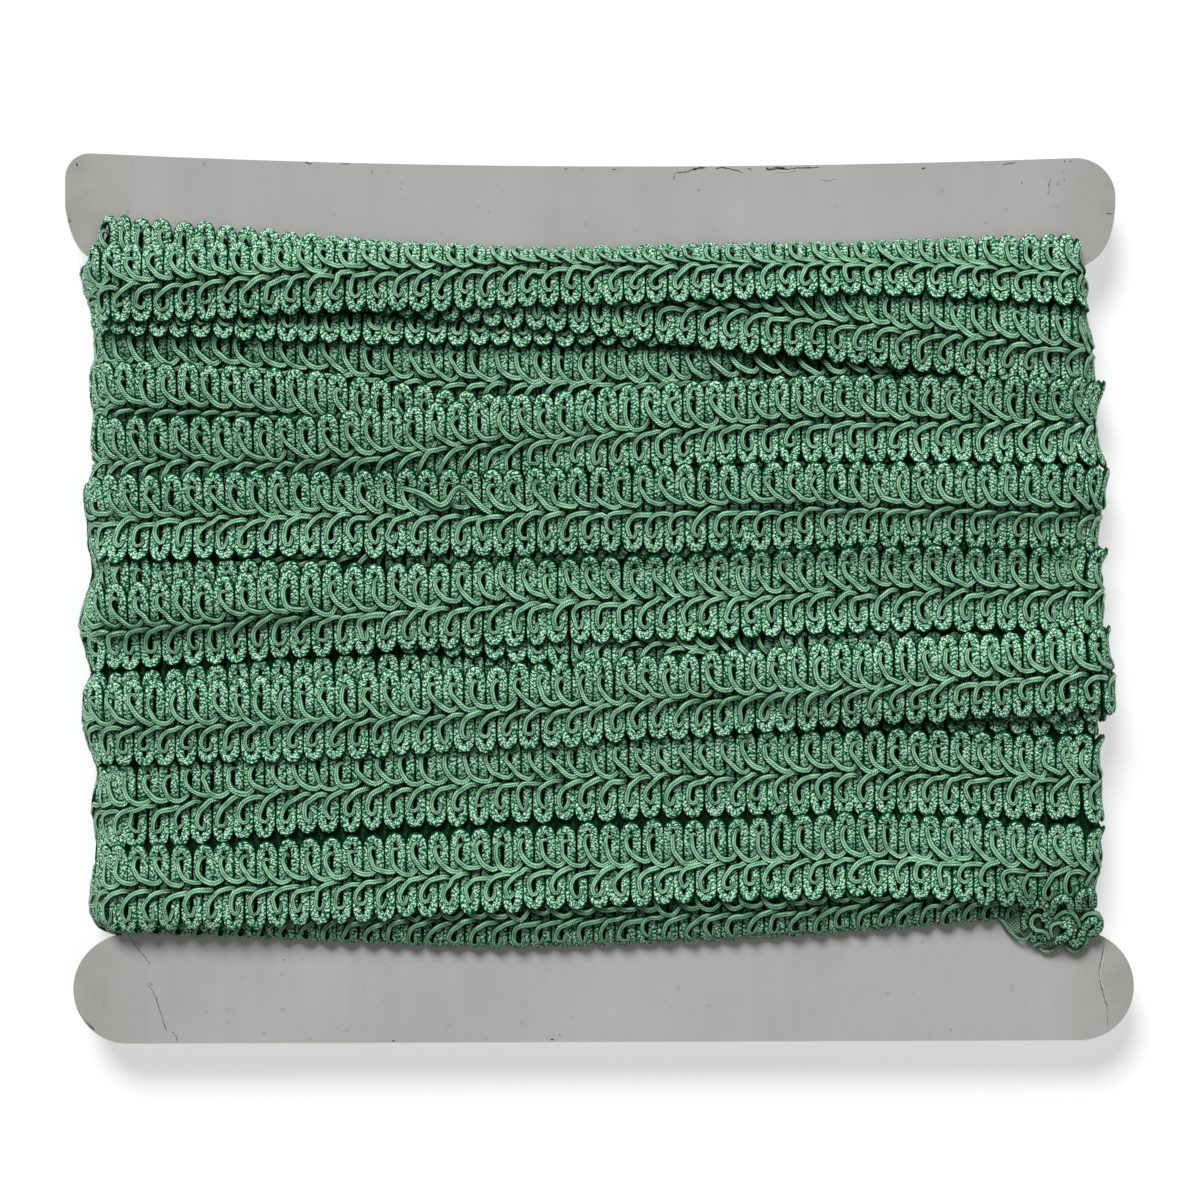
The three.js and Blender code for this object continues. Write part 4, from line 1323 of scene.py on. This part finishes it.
def build_core():
    """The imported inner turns: a closed sleeve just under the outer ones, one grid for its outside
    and one for its inside, joined along both edges."""
    loops = np.arange(STATIONS) * LOOP / STATIONS
    shares = np.linspace(0, 1, CORE_STEPS)
    loop, share = np.meshgrid(loops, shares, indexing="ij")
    low = np.maximum(centres.min(axis=0) - REACH_BELOW_SPINE + CORE_INSET, 0)[:, None]
    high = np.minimum(centres.max(axis=0) + REACH_ABOVE_SPINE - CORE_INSET, profile["total"])
    arc_length = low + (high[:, None] - low) * share
    outside = surface_point(loop, arc_length, core_field, np.zeros_like(loop))
    angle = outside_angle(loop[:, 0])
    depth = CARD_THICKNESS / 2 + FACE_ROOM
    inner = 1 / np.maximum(np.abs(np.sin(angle)) / depth, np.abs(np.cos(angle)) / NOTCH_ROOM)
    inner_x = WAIST_MID_X + centre_x(loop[:, 0]) + np.cos(angle) * inner
    inner_z = CARD_MID_HEIGHT + np.sin(angle) * inner
    edges = []
    for column in (-1, 0):
        edges.append(np.stack([inner_x, outside[:, column, 1], inner_z], axis=-1)[:, None])
    rings = np.concatenate([outside] + edges, axis=1)
    size = rings.shape[1]
    row = np.arange(STATIONS)[:, None]
    ring = np.arange(size)[None, :]
    a = row * size + ring
    b = row * size + (ring + 1) % size
    c = ((row + 1) % STATIONS) * size + (ring + 1) % size
    d = ((row + 1) % STATIONS) * size + ring
    faces = np.stack([a, d, c, b], axis=-1).reshape(-1, 4).tolist()
    piece = make_piece("packed_inner_turns", rings.reshape(-1, 3), faces, [CORE])
    return piece


# Card. Its left and right edges are paired lines, each from the bottom edge to the top one.


def arc(centre, radius, start, end, count):
    """Points on an arc of a circle, at equal angles in degrees from start to end."""
    turn = np.radians(np.linspace(start, end, count))
    return np.stack([centre[0] + radius * np.cos(turn), centre[1] + radius * np.sin(turn)], axis=1)


def quadratic(start, pull, end, count):
    """Points on the parabola from start to end whose end tangents meet at pull."""
    t = np.linspace(0, 1, count)[:, None]
    start, pull, end = (np.array(point) for point in (start, pull, end))
    return (1 - t) ** 2 * start + 2 * t * (1 - t) * pull + t ** 2 * end


def straight(start, end, count):
    """Points on the line from start to end, at equal distances."""
    t = np.linspace(0, 1, count)[:, None]
    return np.array(start) + (np.array(end) - np.array(start)) * t


BOTTOM_RADIUS = 8.0
# Points on the bottom flange's round end, the notch, the top flange's underside, the sweep from it
# into the side, the side and the top corner
EDGE_POINTS = {"bottom": 28, "notch": 12, "underside": 3, "sweep": 12, "side": 3, "corner": 14}
CARD_EDGES = {
    "left": {
        "bottom_centre": (-69.3, -57.4), "bottom_angles": (270, 96.1),
        "notch_x": -70.15, "notch_heights": (-49.2, 49.8),
        "underside_x": (-71.0, -73.8), "sweep_pull": (-77.4, 50.2), "sweep_end": (-78.5, 57.5),
        "side_heights": (58.5, 61.0),
        "corner_centre": (-74.9, 61.8), "corner_radius": 3.6, "corner_angles": (180, 90),
    },
    "right": {
        "bottom_centre": (70.5, -56.9), "bottom_angles": (-90, 90),
        "notch_x": 68.35, "notch_heights": (-48.9, 48.7),
        "underside_x": (69.0, 70.2), "sweep_pull": (75.4, 49.6), "sweep_end": (75.8, 58.0),
        "side_heights": (58.2, 58.6),
        "corner_centre": (70.0, 58.9), "corner_radius": 5.8, "corner_angles": (0, 90),
    },
}


def card_edge(size):
    """One side edge of the card from the bottom up: the rounded end of the bottom flange, the
    notch, and the top flange with its slanting underside and rounded corner."""
    notch_low, notch_high = size["notch_heights"]
    root, lip = size["underside_x"]
    side_x = size["sweep_end"][0]
    side_low, side_high = size["side_heights"]
    return np.concatenate([
        arc(size["bottom_centre"], BOTTOM_RADIUS, *size["bottom_angles"], EDGE_POINTS["bottom"]),
        straight((size["notch_x"], notch_low), (size["notch_x"], notch_high), EDGE_POINTS["notch"]),
        straight((root, notch_high), (lip, notch_high), EDGE_POINTS["underside"])[:-1],
        quadratic((lip, notch_high), size["sweep_pull"], size["sweep_end"], EDGE_POINTS["sweep"]),
        straight((side_x, side_low), (side_x, side_high), EDGE_POINTS["side"]),
        arc(size["corner_centre"], size["corner_radius"], *size["corner_angles"],
            EDGE_POINTS["corner"]),
    ])


CARD_COLUMNS = 13
# The top edge dips by this much in its middle, and the rows above TOP_DIP_FROM follow it, more and
# more over the length TOP_DIP_LENGTH
CARD_TOP_DIP = 3.15
TOP_DIP_FROM = 50
TOP_DIP_LENGTH = 15
SOFT_EDGE = 0.3
SOFT_EDGE_STEPS = 3
SOFT_EDGE_ANGLE = math.radians(40)


def build_card():
    """The notched card: rows ruled from the left edge to the right one, the top ones dipping in
    the middle, as a front and a back face with a wall between them and softened edges."""
    left, right = (card_edge(CARD_EDGES[side]) for side in ("left", "right"))
    columns = CARD_COLUMNS
    m = np.linspace(0, 1, columns)
    flat = left[:, None, :] + (right - left)[:, None, :] * m[:, None]
    follow = np.clip((flat[..., 1] - TOP_DIP_FROM) / TOP_DIP_LENGTH, 0, 1) ** 2
    flat[..., 1] -= follow * 2 * CARD_TOP_DIP * m * (1 - m)
    rows = len(left)
    half = CARD_THICKNESS / 2
    layers = []
    for side in (half, -half):
        height = np.full(flat.shape[:2] + (1,), CARD_MID_HEIGHT + side)
        layers.append(np.concatenate([flat, height], axis=-1).reshape(-1, 3))
    index = np.arange(rows * columns).reshape(rows, columns)
    a, b, c, d = index[:-1, :-1], index[:-1, 1:], index[1:, 1:], index[1:, :-1]
    front = np.stack([a, b, c, d], axis=-1).reshape(-1, 4)
    back = front[:, ::-1] + rows * columns
    rim = np.concatenate([index[0, :-1], index[:-1, -1], index[-1, :0:-1], index[:0:-1, 0]])
    ahead = np.roll(rim, -1)
    under = rows * columns
    wall = np.stack([rim, rim + under, ahead + under, ahead], axis=-1)
    faces = np.concatenate([front, back, wall]).tolist()
    piece = make_piece("notched_card", np.concatenate(layers), faces, [BOARD], smooth=False)
    bevel = piece.modifiers.new("softened_edges", "BEVEL")
    bevel.width = SOFT_EDGE * MM
    bevel.segments = SOFT_EDGE_STEPS
    bevel.limit_method = "ANGLE"
    bevel.angle_limit = SOFT_EDGE_ANGLE
    return piece


# Wear on the card's front: its finish, its width and the points that its line goes through, in
# millimetres along and up the card
TEAR, SPLIT, LIP = 0, 1, 2
Wear = namedtuple("Wear", "finish width line")
WEAR = [
    Wear(SPLIT, 0.13, [(-69.3, -49.0), (-68.5, -50.6), (-67.1, -52.2), (-65.9, -53.8)]),
    Wear(SPLIT, 0.14, [(-66.5, -56.6), (-65.9, -57.3), (-65.5, -58.0), (-64.8, -59.8),
                       (-63.6, -63.6)]),
    Wear(SPLIT, 0.12, [(-66.2, -56.4), (-65.6, -56.9)]),
    Wear(SPLIT, 0.13, [(-62.5, -63.9), (-62.1, -64.4), (-62.0, -65.2)]),
    Wear(SPLIT, 0.16, [(74.2, -50.6), (73.7, -53.1), (73.4, -55.4), (73.9, -57.7), (74.5, -59.9)]),
    Wear(LIP, 0.30, [(74.5, -50.6), (73.95, -53.1), (73.65, -55.4), (74.15, -57.7), (74.7, -59.9)]),
    Wear(SPLIT, 0.10, [(74.5, -59.9), (74.6, -61.4), (74.7, -63.0)]),
    Wear(TEAR, 0.20, [(11.2, 62.5), (12.9, 62.75), (14.4, 63.1), (15.5, 63.25)]),
    Wear(TEAR, 0.34, [(13.6, 63.0), (14.4, 63.3), (15.3, 63.35)]),
    Wear(TEAR, 0.16, [(17.0, 63.1), (17.6, 63.3), (18.5, 63.25), (19.6, 63.05), (21.1, 62.5)]),
    Wear(TEAR, 0.18, [(21.7, 63.3), (22.3, 63.0)]),
    Wear(TEAR, 0.36, [(24.5, 63.3), (24.9, 63.05), (26.0, 63.25), (27.2, 63.3)]),
    Wear(TEAR, 0.20, [(26.4, 63.1), (27.8, 63.1), (29.0, 63.25), (32.2, 63.4)]),
    Wear(LIP, 0.40, [(26.2, 62.85), (27.6, 62.75), (28.8, 63.0)]),
    Wear(TEAR, 0.14, [(11.0, 62.4), (10.9, 61.5)]),
    Wear(LIP, 0.22, [(32.2, 61.7), (33.1, 61.5), (34.7, 61.7)]),
    Wear(SPLIT, 0.10, [(14.5, 59.9), (14.7, 60.2)]),
    Wear(TEAR, 0.20, [(-43.4, 64.0), (-42.3, 63.95)]),
    Wear(TEAR, 0.16, [(-38.2, 63.9), (-36.7, 63.85)]),
    Wear(TEAR, 0.16, [(-5.2, 63.1), (-4.6, 63.1)]),
    Wear(TEAR, 0.14, [(1.8, 63.0), (2.4, 63.0)]),
    Wear(SPLIT, 0.12, [(-33.4, 62.9), (-33.4, 62.4)]),
    Wear(SPLIT, 0.16, [(-29.3, 60.2), (-29.1, 60.15)]),
    Wear(TEAR, 0.26, [(47.2, 63.2), (47.8, 63.15)]),
    Wear(TEAR, 0.16, [(59.2, 63.8), (60.0, 63.9), (61.1, 64.0)]),
    Wear(TEAR, 0.20, [(68.2, 64.2), (68.5, 64.2)]),
    Wear(TEAR, 0.18, [(69.0, 64.2), (69.3, 64.2)]),
    Wear(SPLIT, 0.14, [(66.3, 61.9), (66.1, 60.8), (65.9, 59.4)]),
    Wear(SPLIT, 0.10, [(68.2, 63.0), (68.1, 62.6)]),
    Wear(SPLIT, 0.10, [(68.3, 61.8), (68.2, 61.3)]),
    Wear(SPLIT, 0.10, [(67.4, 61.2), (67.4, 60.7)]),
    Wear(SPLIT, 0.12, [(62.1, 61.3), (62.0, 60.8)]),
    Wear(TEAR, 0.22, [(74.5, 56.6), (75.4, 56.45)]),
    Wear(SPLIT, 0.40, [(-76.9, 63.9), (-76.6, 63.6)]),
    Wear(SPLIT, 0.40, [(-77.9, 55.9), (-77.8, 55.3)]),
    Wear(SPLIT, 0.24, [(-46.5, -53.0), (-46.3, -53.1)]),
    Wear(TEAR, 0.34, [(-7.2, -64.8), (-6.7, -64.8)]),
    Wear(TEAR, 0.20, [(-30.6, -65.0), (-30.1, -65.0)]),
    Wear(SPLIT, 0.30, [(-75.6, -61.9), (-74.2, -63.4)]),
    Wear(SPLIT, 0.14, [(51.6, -63.2), (51.8, -63.4)]),
    Wear(SPLIT, 0.12, [(-62.9, -63.7), (-62.5, -63.75)]),
]
# A ridge's section, its height over the board, and how much higher a raised lip is
WEAR_SECTION = [(1.0, 0.0), (0.5, 0.6), (-0.5, 0.6), (-1.0, 0.0), (-0.5, -0.6), (0.5, -0.6)]
WEAR_HEIGHT = 0.05
LIP_EXTRA = 0.5
# Length of a step along a ridge, the least number of steps, how far the line wanders, the shares
# of the width that it takes, and the share that is left of them at both ends
WEAR_STEP = 0.35
WEAR_LEAST_STEPS = 5
WEAR_WANDER = 0.05
WEAR_WIDTHS = (0.45, 1.25)
WEAR_END_WIDTH = 0.3
UP = np.array([0.0, 0.0, 1.0])


def build_wear():
    """Cracks and torn spots of the coating: flat ragged ridges half sunk in the card's front, each
    along its own line with a width that comes and goes."""
    parts = []
    sides = len(WEAR_SECTION)
    for wear in WEAR:
        line = np.array([(x, y, CARD_FRONT) for x, y in wear.line])
        length = np.sum(np.linalg.norm(np.diff(line, axis=0), axis=1))
        steps = max(WEAR_LEAST_STEPS, int(length / WEAR_STEP))
        path = smooth_path(line, steps)
        path[:, :2] += rng.normal(0, WEAR_WANDER, (steps, 2))
        grow = rng.uniform(*WEAR_WIDTHS, steps) * wear.width / 2
        grow[[0, -1]] *= WEAR_END_WIDTH
        rings = tube_points(path, np.tile(UP, (steps, 1)), WEAR_SECTION, grow)
        height = WEAR_HEIGHT * (1.0 + LIP_EXTRA * (wear.finish == LIP))
        rings[..., 2] = CARD_FRONT + np.sign(rings[..., 2] - CARD_FRONT) * height
        uv = np.zeros((steps * sides, 2))
        ridge = (rings.reshape(-1, 3), tube_faces(1, steps, sides), uv, np.ones(steps * sides))
        parts.append((wear.finish, ridge))
    points, faces, _, _, numbers = join_parts(parts)
    piece = make_piece("worn_spots", points, faces, [TORN, CRACK, RAISED], None, numbers)


# The loose end, in millimetres. Each row is a point: x, y, rise above the card, share of width.


END_STRANDS = {
    "round_the_flap": [
        (58.3, -46.6, 0.8, 0.5), (59.3, -47.5, 1.1, 0.58), (60.1, -48.7, 1.2, 0.64),
        (61.2, -49.7, 1.2, 0.66), (62.2, -49.9, 1.6, 0.66), (62.9, -49.3, 2.2, 0.62),
        (63.3, -48.4, 2.6, 0.5),
    ],
    "curl": [
        (64.7, -47.2, 2.7, 0.5), (64.5, -46.5, 3.1, 0.68), (63.8, -46.2, 3.4, 0.8),
        (63.1, -46.7, 3.5, 0.84), (63.0, -47.6, 3.5, 0.86), (63.6, -48.3, 3.5, 0.86),
        (64.6, -48.5, 3.4, 0.86), (65.3, -48.9, 3.1, 0.8), (65.7, -49.8, 2.6, 0.66),
    ],
    "arch": [
        (66.3, -46.8, 3.5, 0.66), (67.0, -46.0, 4.0, 0.76), (67.9, -45.6, 4.3, 0.82),
        (68.9, -45.9, 4.4, 0.82), (69.6, -46.8, 4.2, 0.76), (70.1, -47.9, 3.7, 0.6),
    ],
    "inner_hook": [
        (66.1, -49.5, 2.9, 0.6), (65.8, -48.5, 3.3, 0.68), (66.0, -47.7, 3.5, 0.72),
        (66.8, -47.3, 3.5, 0.72), (67.7, -47.4, 3.2, 0.6),
    ],
    "right_arch": [
        (70.2, -46.9, 3.4, 0.66), (70.9, -46.1, 3.8, 0.78), (71.9, -45.8, 4.0, 0.84),
        (72.7, -46.1, 3.8, 0.8), (73.1, -46.9, 3.3, 0.66),
    ],
    "right_edge": [
        (73.3, -46.6, 2.6, 0.5), (73.5, -47.7, 2.3, 0.6), (73.1, -48.7, 2.0, 0.66),
        (72.3, -49.1, 1.8, 0.6), (71.5, -48.9, 1.8, 0.5),
    ],
    "short": [(63.5, -50.9, 1.3, 0.45), (64.3, -50.5, 1.7, 0.58), (65.2, -50.1, 2.0, 0.45)],
    "bottom_left": [
        (64.4, -51.2, 0.9, 0.45), (65.2, -51.7, 1.0, 0.58), (66.2, -51.6, 1.2, 0.64),
        (67.3, -50.8, 1.6, 0.64), (68.2, -50.0, 2.0, 0.55),
    ],
    "bottom_right": [
        (67.9, -50.5, 1.7, 0.45), (68.6, -51.3, 1.5, 0.54), (69.6, -51.7, 1.4, 0.58),
        (70.6, -51.2, 1.6, 0.58), (71.3, -50.2, 1.9, 0.56), (71.5, -48.9, 2.2, 0.45),
    ],
}
END_CORDS = {
    "over_the_curl": [
        (62.2, -48.4, 1.5, 0.8), (62.2, -46.5, 2.4, 0.9), (63.1, -44.9, 3.4, 1.0),
        (64.4, -44.5, 4.0, 1.0), (65.3, -45.4, 3.6, 1.0), (64.9, -47.1, 2.8, 0.95),
    ],
    "first_tip": [
        (65.8, -46.0, 3.5, 0.9), (66.2, -44.3, 5.0, 1.0), (67.2, -43.5, 5.7, 1.0),
        (68.2, -44.1, 5.3, 1.0), (68.6, -45.6, 4.0, 0.9),
    ],
    "second_tip": [
        (69.8, -45.4, 4.0, 0.9), (69.7, -43.4, 5.3, 1.0), (70.6, -42.5, 5.9, 1.0),
        (71.5, -43.1, 5.5, 1.0), (71.8, -44.9, 4.2, 0.9),
    ],
    "under_the_arch": [
        (66.3, -48.3, 2.2, 0.85), (66.6, -46.8, 2.8, 1.0), (67.7, -46.3, 3.2, 1.0),
        (68.9, -47.0, 3.1, 1.0), (69.7, -48.3, 2.5, 0.9),
    ],
    "inner": [
        (67.3, -47.6, 3.1, 0.9), (68.3, -47.7, 3.4, 1.0), (68.6, -48.7, 3.2, 1.0),
        (67.7, -49.6, 2.7, 1.0), (66.4, -50.2, 1.9, 0.85),
    ],
    "low_loop": [
        (69.2, -48.1, 3.0, 0.85), (68.9, -49.5, 2.5, 1.0), (69.5, -50.5, 2.0, 1.0),
        (70.3, -49.9, 2.3, 1.0), (70.5, -48.6, 2.8, 1.0), (71.0, -47.6, 3.1, 0.9),
    ],
    "right": [
        (71.0, -48.0, 2.9, 0.85), (71.5, -47.1, 3.2, 0.95), (72.4, -47.0, 3.2, 1.0),
        (72.8, -47.9, 2.8, 1.0), (72.3, -48.8, 2.3, 0.95), (71.4, -49.0, 2.0, 0.85),
    ],
    "low": [
        (63.4, -50.3, 1.3, 0.8), (63.7, -49.5, 1.9, 0.9), (64.3, -49.2, 2.2, 0.95),
        (65.0, -49.6, 2.1, 0.9), (64.8, -50.4, 1.5, 0.8),
    ],
    "behind_the_hook": [
        (65.6, -48.8, 2.0, 0.85), (65.6, -47.4, 2.6, 0.95), (65.9, -46.4, 3.0, 0.9),
    ],
}
# The pulled strand: along the row from the middle of the card, across from the spine, lift, width
LOOSE_STRAND = [
    (-28.9, 4.0, 1.1, 0.85), (-27.2, 3.6, 1.9, 1.0), (-25.5, 2.9, 2.3, 1.05),
    (-24.2, 2.0, 2.5, 1.05), (-23.1, 1.35, 2.6, 1.05), (-22.1, 1.8, 2.7, 1.02),
    (-21.4, 2.9, 2.8, 1.0), (-20.7, 3.75, 2.8, 1.0), (-19.9, 3.9, 2.8, 1.0),
    (-19.1, 3.2, 2.7, 1.05), (-18.0, 2.0, 2.5, 1.08), (-16.8, 0.8, 2.1, 1.05),
    (-15.7, 0.1, 1.5, 0.9),
]


LEAST_STEPS = 6
# Each placed strand's threads start anywhere in this length
PLACED_START = 90


def placed_strands(lines, section, step, openness):
    """Strands along listed lines of (x, y, rise above the card, width), in steps of about the
    given length, all equally open."""
    parts = []
    sides = len(section)
    for line in lines.values():
        at = np.array(line, dtype=float)
        at[:, 2] += CARD_FRONT
        length = np.sum(np.linalg.norm(np.diff(at[:, :3], axis=0), axis=1))
        path = smooth_path(at, max(LEAST_STEPS, int(length / step)))
        normal = np.tile(UP, (1, len(path), 1))
        rings = tube_points(path[None, :, :3], normal, section, path[None, :, 3])
        ways = np.diff(path[:, :3], axis=0, prepend=path[:1, :3])
        walked = np.cumsum(np.linalg.norm(ways, axis=1))
        u = np.repeat(walked + rng.uniform(0, PLACED_START), sides) * UV_PER_MM
        uv = np.stack([u, np.tile(section[:, 2], len(path))], axis=1)
        faces = tube_faces(1, len(path), sides)
        parts.append((rings.reshape(-1, 3), faces, uv, np.full(len(u), openness)))
    return parts


# In the loose end the cord is rounder and the strands are thinner: shares of their sections
ROUNDER = (1, 1.2, 1)
THINNER = (0.88, 0.95, 1)


def build_loose_end():
    """The strands and cords that stand out of the bunched end of the braid."""
    # The openness values paint shade on the loose end's cords and strands, more on the cords.
    end_cords = placed_strands(END_CORDS, CORD_SECTION * ROUNDER, step=0.3, openness=0.66)
    end_strands = placed_strands(END_STRANDS, GIMP_SECTION * THINNER, step=0.2, openness=0.78)
    parts = [(0, part) for part in end_cords] + [(1, part) for part in end_strands]
    points, faces, uv, openness, numbers = join_parts(parts)
    piece = make_piece("loose_end_strands", points, faces, [PLAIT, GIMP], uv, numbers,
                       openness=openness)


# The bunched end of the braid, from its left end to its right one: its lower and upper edges and
# the height of its crests at shares of that way
BUNCHED_LEFT = 58.2
BUNCHED_LENGTH = 14.4
BUNCHED_LOWER = {
    "share": [0, 0.12, 0.3, 0.5, 0.8, 1],
    "y": [-46.6, -48.6, -49.6, -50.6, -50.6, -48.6],
}
BUNCHED_UPPER = {"share": [0, 0.3, 0.6, 1], "y": [-45.2, -44.6, -44.4, -44.2]}
BUNCHED_CREST = {"share": [0, 0.15, 0.3, 0.5, 0.75, 1], "rise": [0.8, 1.2, 1.5, 2.6, 2.6, 1.6]}
# The flap's height as a share of the crest's, and where the folds take over from it
FLAP_RISE = 0.8
FOLDS_BEGIN = (0.24, 0.34)
# The number of folds, how far each one leans over the width, and where in a fold they begin
FOLDS = 5.2
FOLD_LEAN = 0.3
FOLD_START = 0.6
FOLD_SWAY = 0.35
EDGE_SWAY = 0.25
# Height over the card, the valleys' share of the crest, and how the height falls to the edges
BUNCHED_CLEARANCE = 0.35
VALLEY_SHARE = 0.35
END_STRETCH = 1.02
END_FULLNESS = 0.35
LOWER_EDGE_FALL = 0.35
# How open the flap is, and how much less its folds are: the painted shade on the flap, deeper in
# its folds
FLAP_OPENNESS = 0.9
FOLDS_LESS_OPEN = 0.5
CLOTH_THICKNESS = 0.6
FOLD_STEPS = 90
WIDTH_STEPS = 26


def build_bunched_end():
    """The end of the braid folded up under its own strands: a sheet that lies flat as a flap at its
    left, and whose height goes up and down in uneven folds from there on. s is the share of its
    length and t the share of its width, and the folds are a sine of s and a little of t."""
    s, t = np.meshgrid(
        np.linspace(0, 1, FOLD_STEPS), np.linspace(0, 1, WIDTH_STEPS), indexing="ij"
    )
    way = s[:, 0]
    lower = np.interp(way, BUNCHED_LOWER["share"], BUNCHED_LOWER["y"])
    upper = np.interp(way, BUNCHED_UPPER["share"], BUNCHED_UPPER["y"])
    crest = np.interp(way, BUNCHED_CREST["share"], BUNCHED_CREST["rise"])[:, None]
    folded = smooth_share(s, *FOLDS_BEGIN)
    phase = TAU * (FOLDS * s + FOLD_LEAN * t)
    wave = 0.5 + 0.5 * np.sin(phase + FOLD_START)
    fold = FLAP_RISE + (wave - FLAP_RISE) * folded
    to_ends = np.sin(math.pi * np.clip(s * END_STRETCH, 0, 1)) ** END_FULLNESS
    edge = to_ends * (1 - LOWER_EDGE_FALL * t ** 3)
    x = BUNCHED_LEFT + BUNCHED_LENGTH * s + FOLD_SWAY * np.sin(phase) * edge
    y = upper[:, None] + (lower - upper)[:, None] * t
    y += EDGE_SWAY * np.sin(TAU * FOLDS * s) * t
    rise = (VALLEY_SHARE + (1 - VALLEY_SHARE) * fold) * crest * edge
    points = np.stack([x, y, CARD_FRONT + BUNCHED_CLEARANCE + rise], axis=-1).reshape(-1, 3)
    index = np.arange(FOLD_STEPS * WIDTH_STEPS).reshape(FOLD_STEPS, WIDTH_STEPS)
    a, b, c, d = index[:-1, :-1], index[:-1, 1:], index[1:, 1:], index[1:, :-1]
    faces = np.stack([a, b, c, d], axis=-1).reshape(-1, 4)[:, ::-1]
    openness = FLAP_OPENNESS - FOLDS_LESS_OPEN * folded
    piece = make_piece("bunched_end", points, faces.tolist(), [FRAYED], openness=openness.ravel())
    wall = piece.modifiers.new("cloth_thickness", "SOLIDIFY")
    wall.thickness = CLOTH_THICKNESS * MM
    wall.offset = 0.0
    return piece


PULLED_STEPS = 44


def build_pulled_strand():
    """A strand that has pulled out of one row and lies loosely over it: (along the row from the
    middle of the card, across from the spine, lift, width)."""
    turn = [row.name for row in TURNS].index("seventh")
    at = smooth_path(np.array(LOOSE_STRAND), PULLED_STEPS)[None]
    loop = FRONT_START + STRAIGHT_HALF + at[..., ALONG_ROW] - WAIST_MID_X
    place = (turn, loop, at[..., ACROSS_ROW], at[..., LIFT])
    openness = np.ones(loop.shape)
    strand = strand_mesh(turn_point(*place), turn_normal(*place), at[..., WIDTH], openness)
    points, faces, uv, openness = strand
    piece = make_piece("pulled_strand", points, faces, [GIMP], uv, openness=openness)


card = build_card()
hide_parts("card")
build_wear()
core = build_core()
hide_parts("braid_winding")
for turn in range(len(TURNS)):
    build_turn(turn)
build_pulled_strand()
bunched = build_bunched_end()
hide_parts("braid_tail")
build_loose_end()
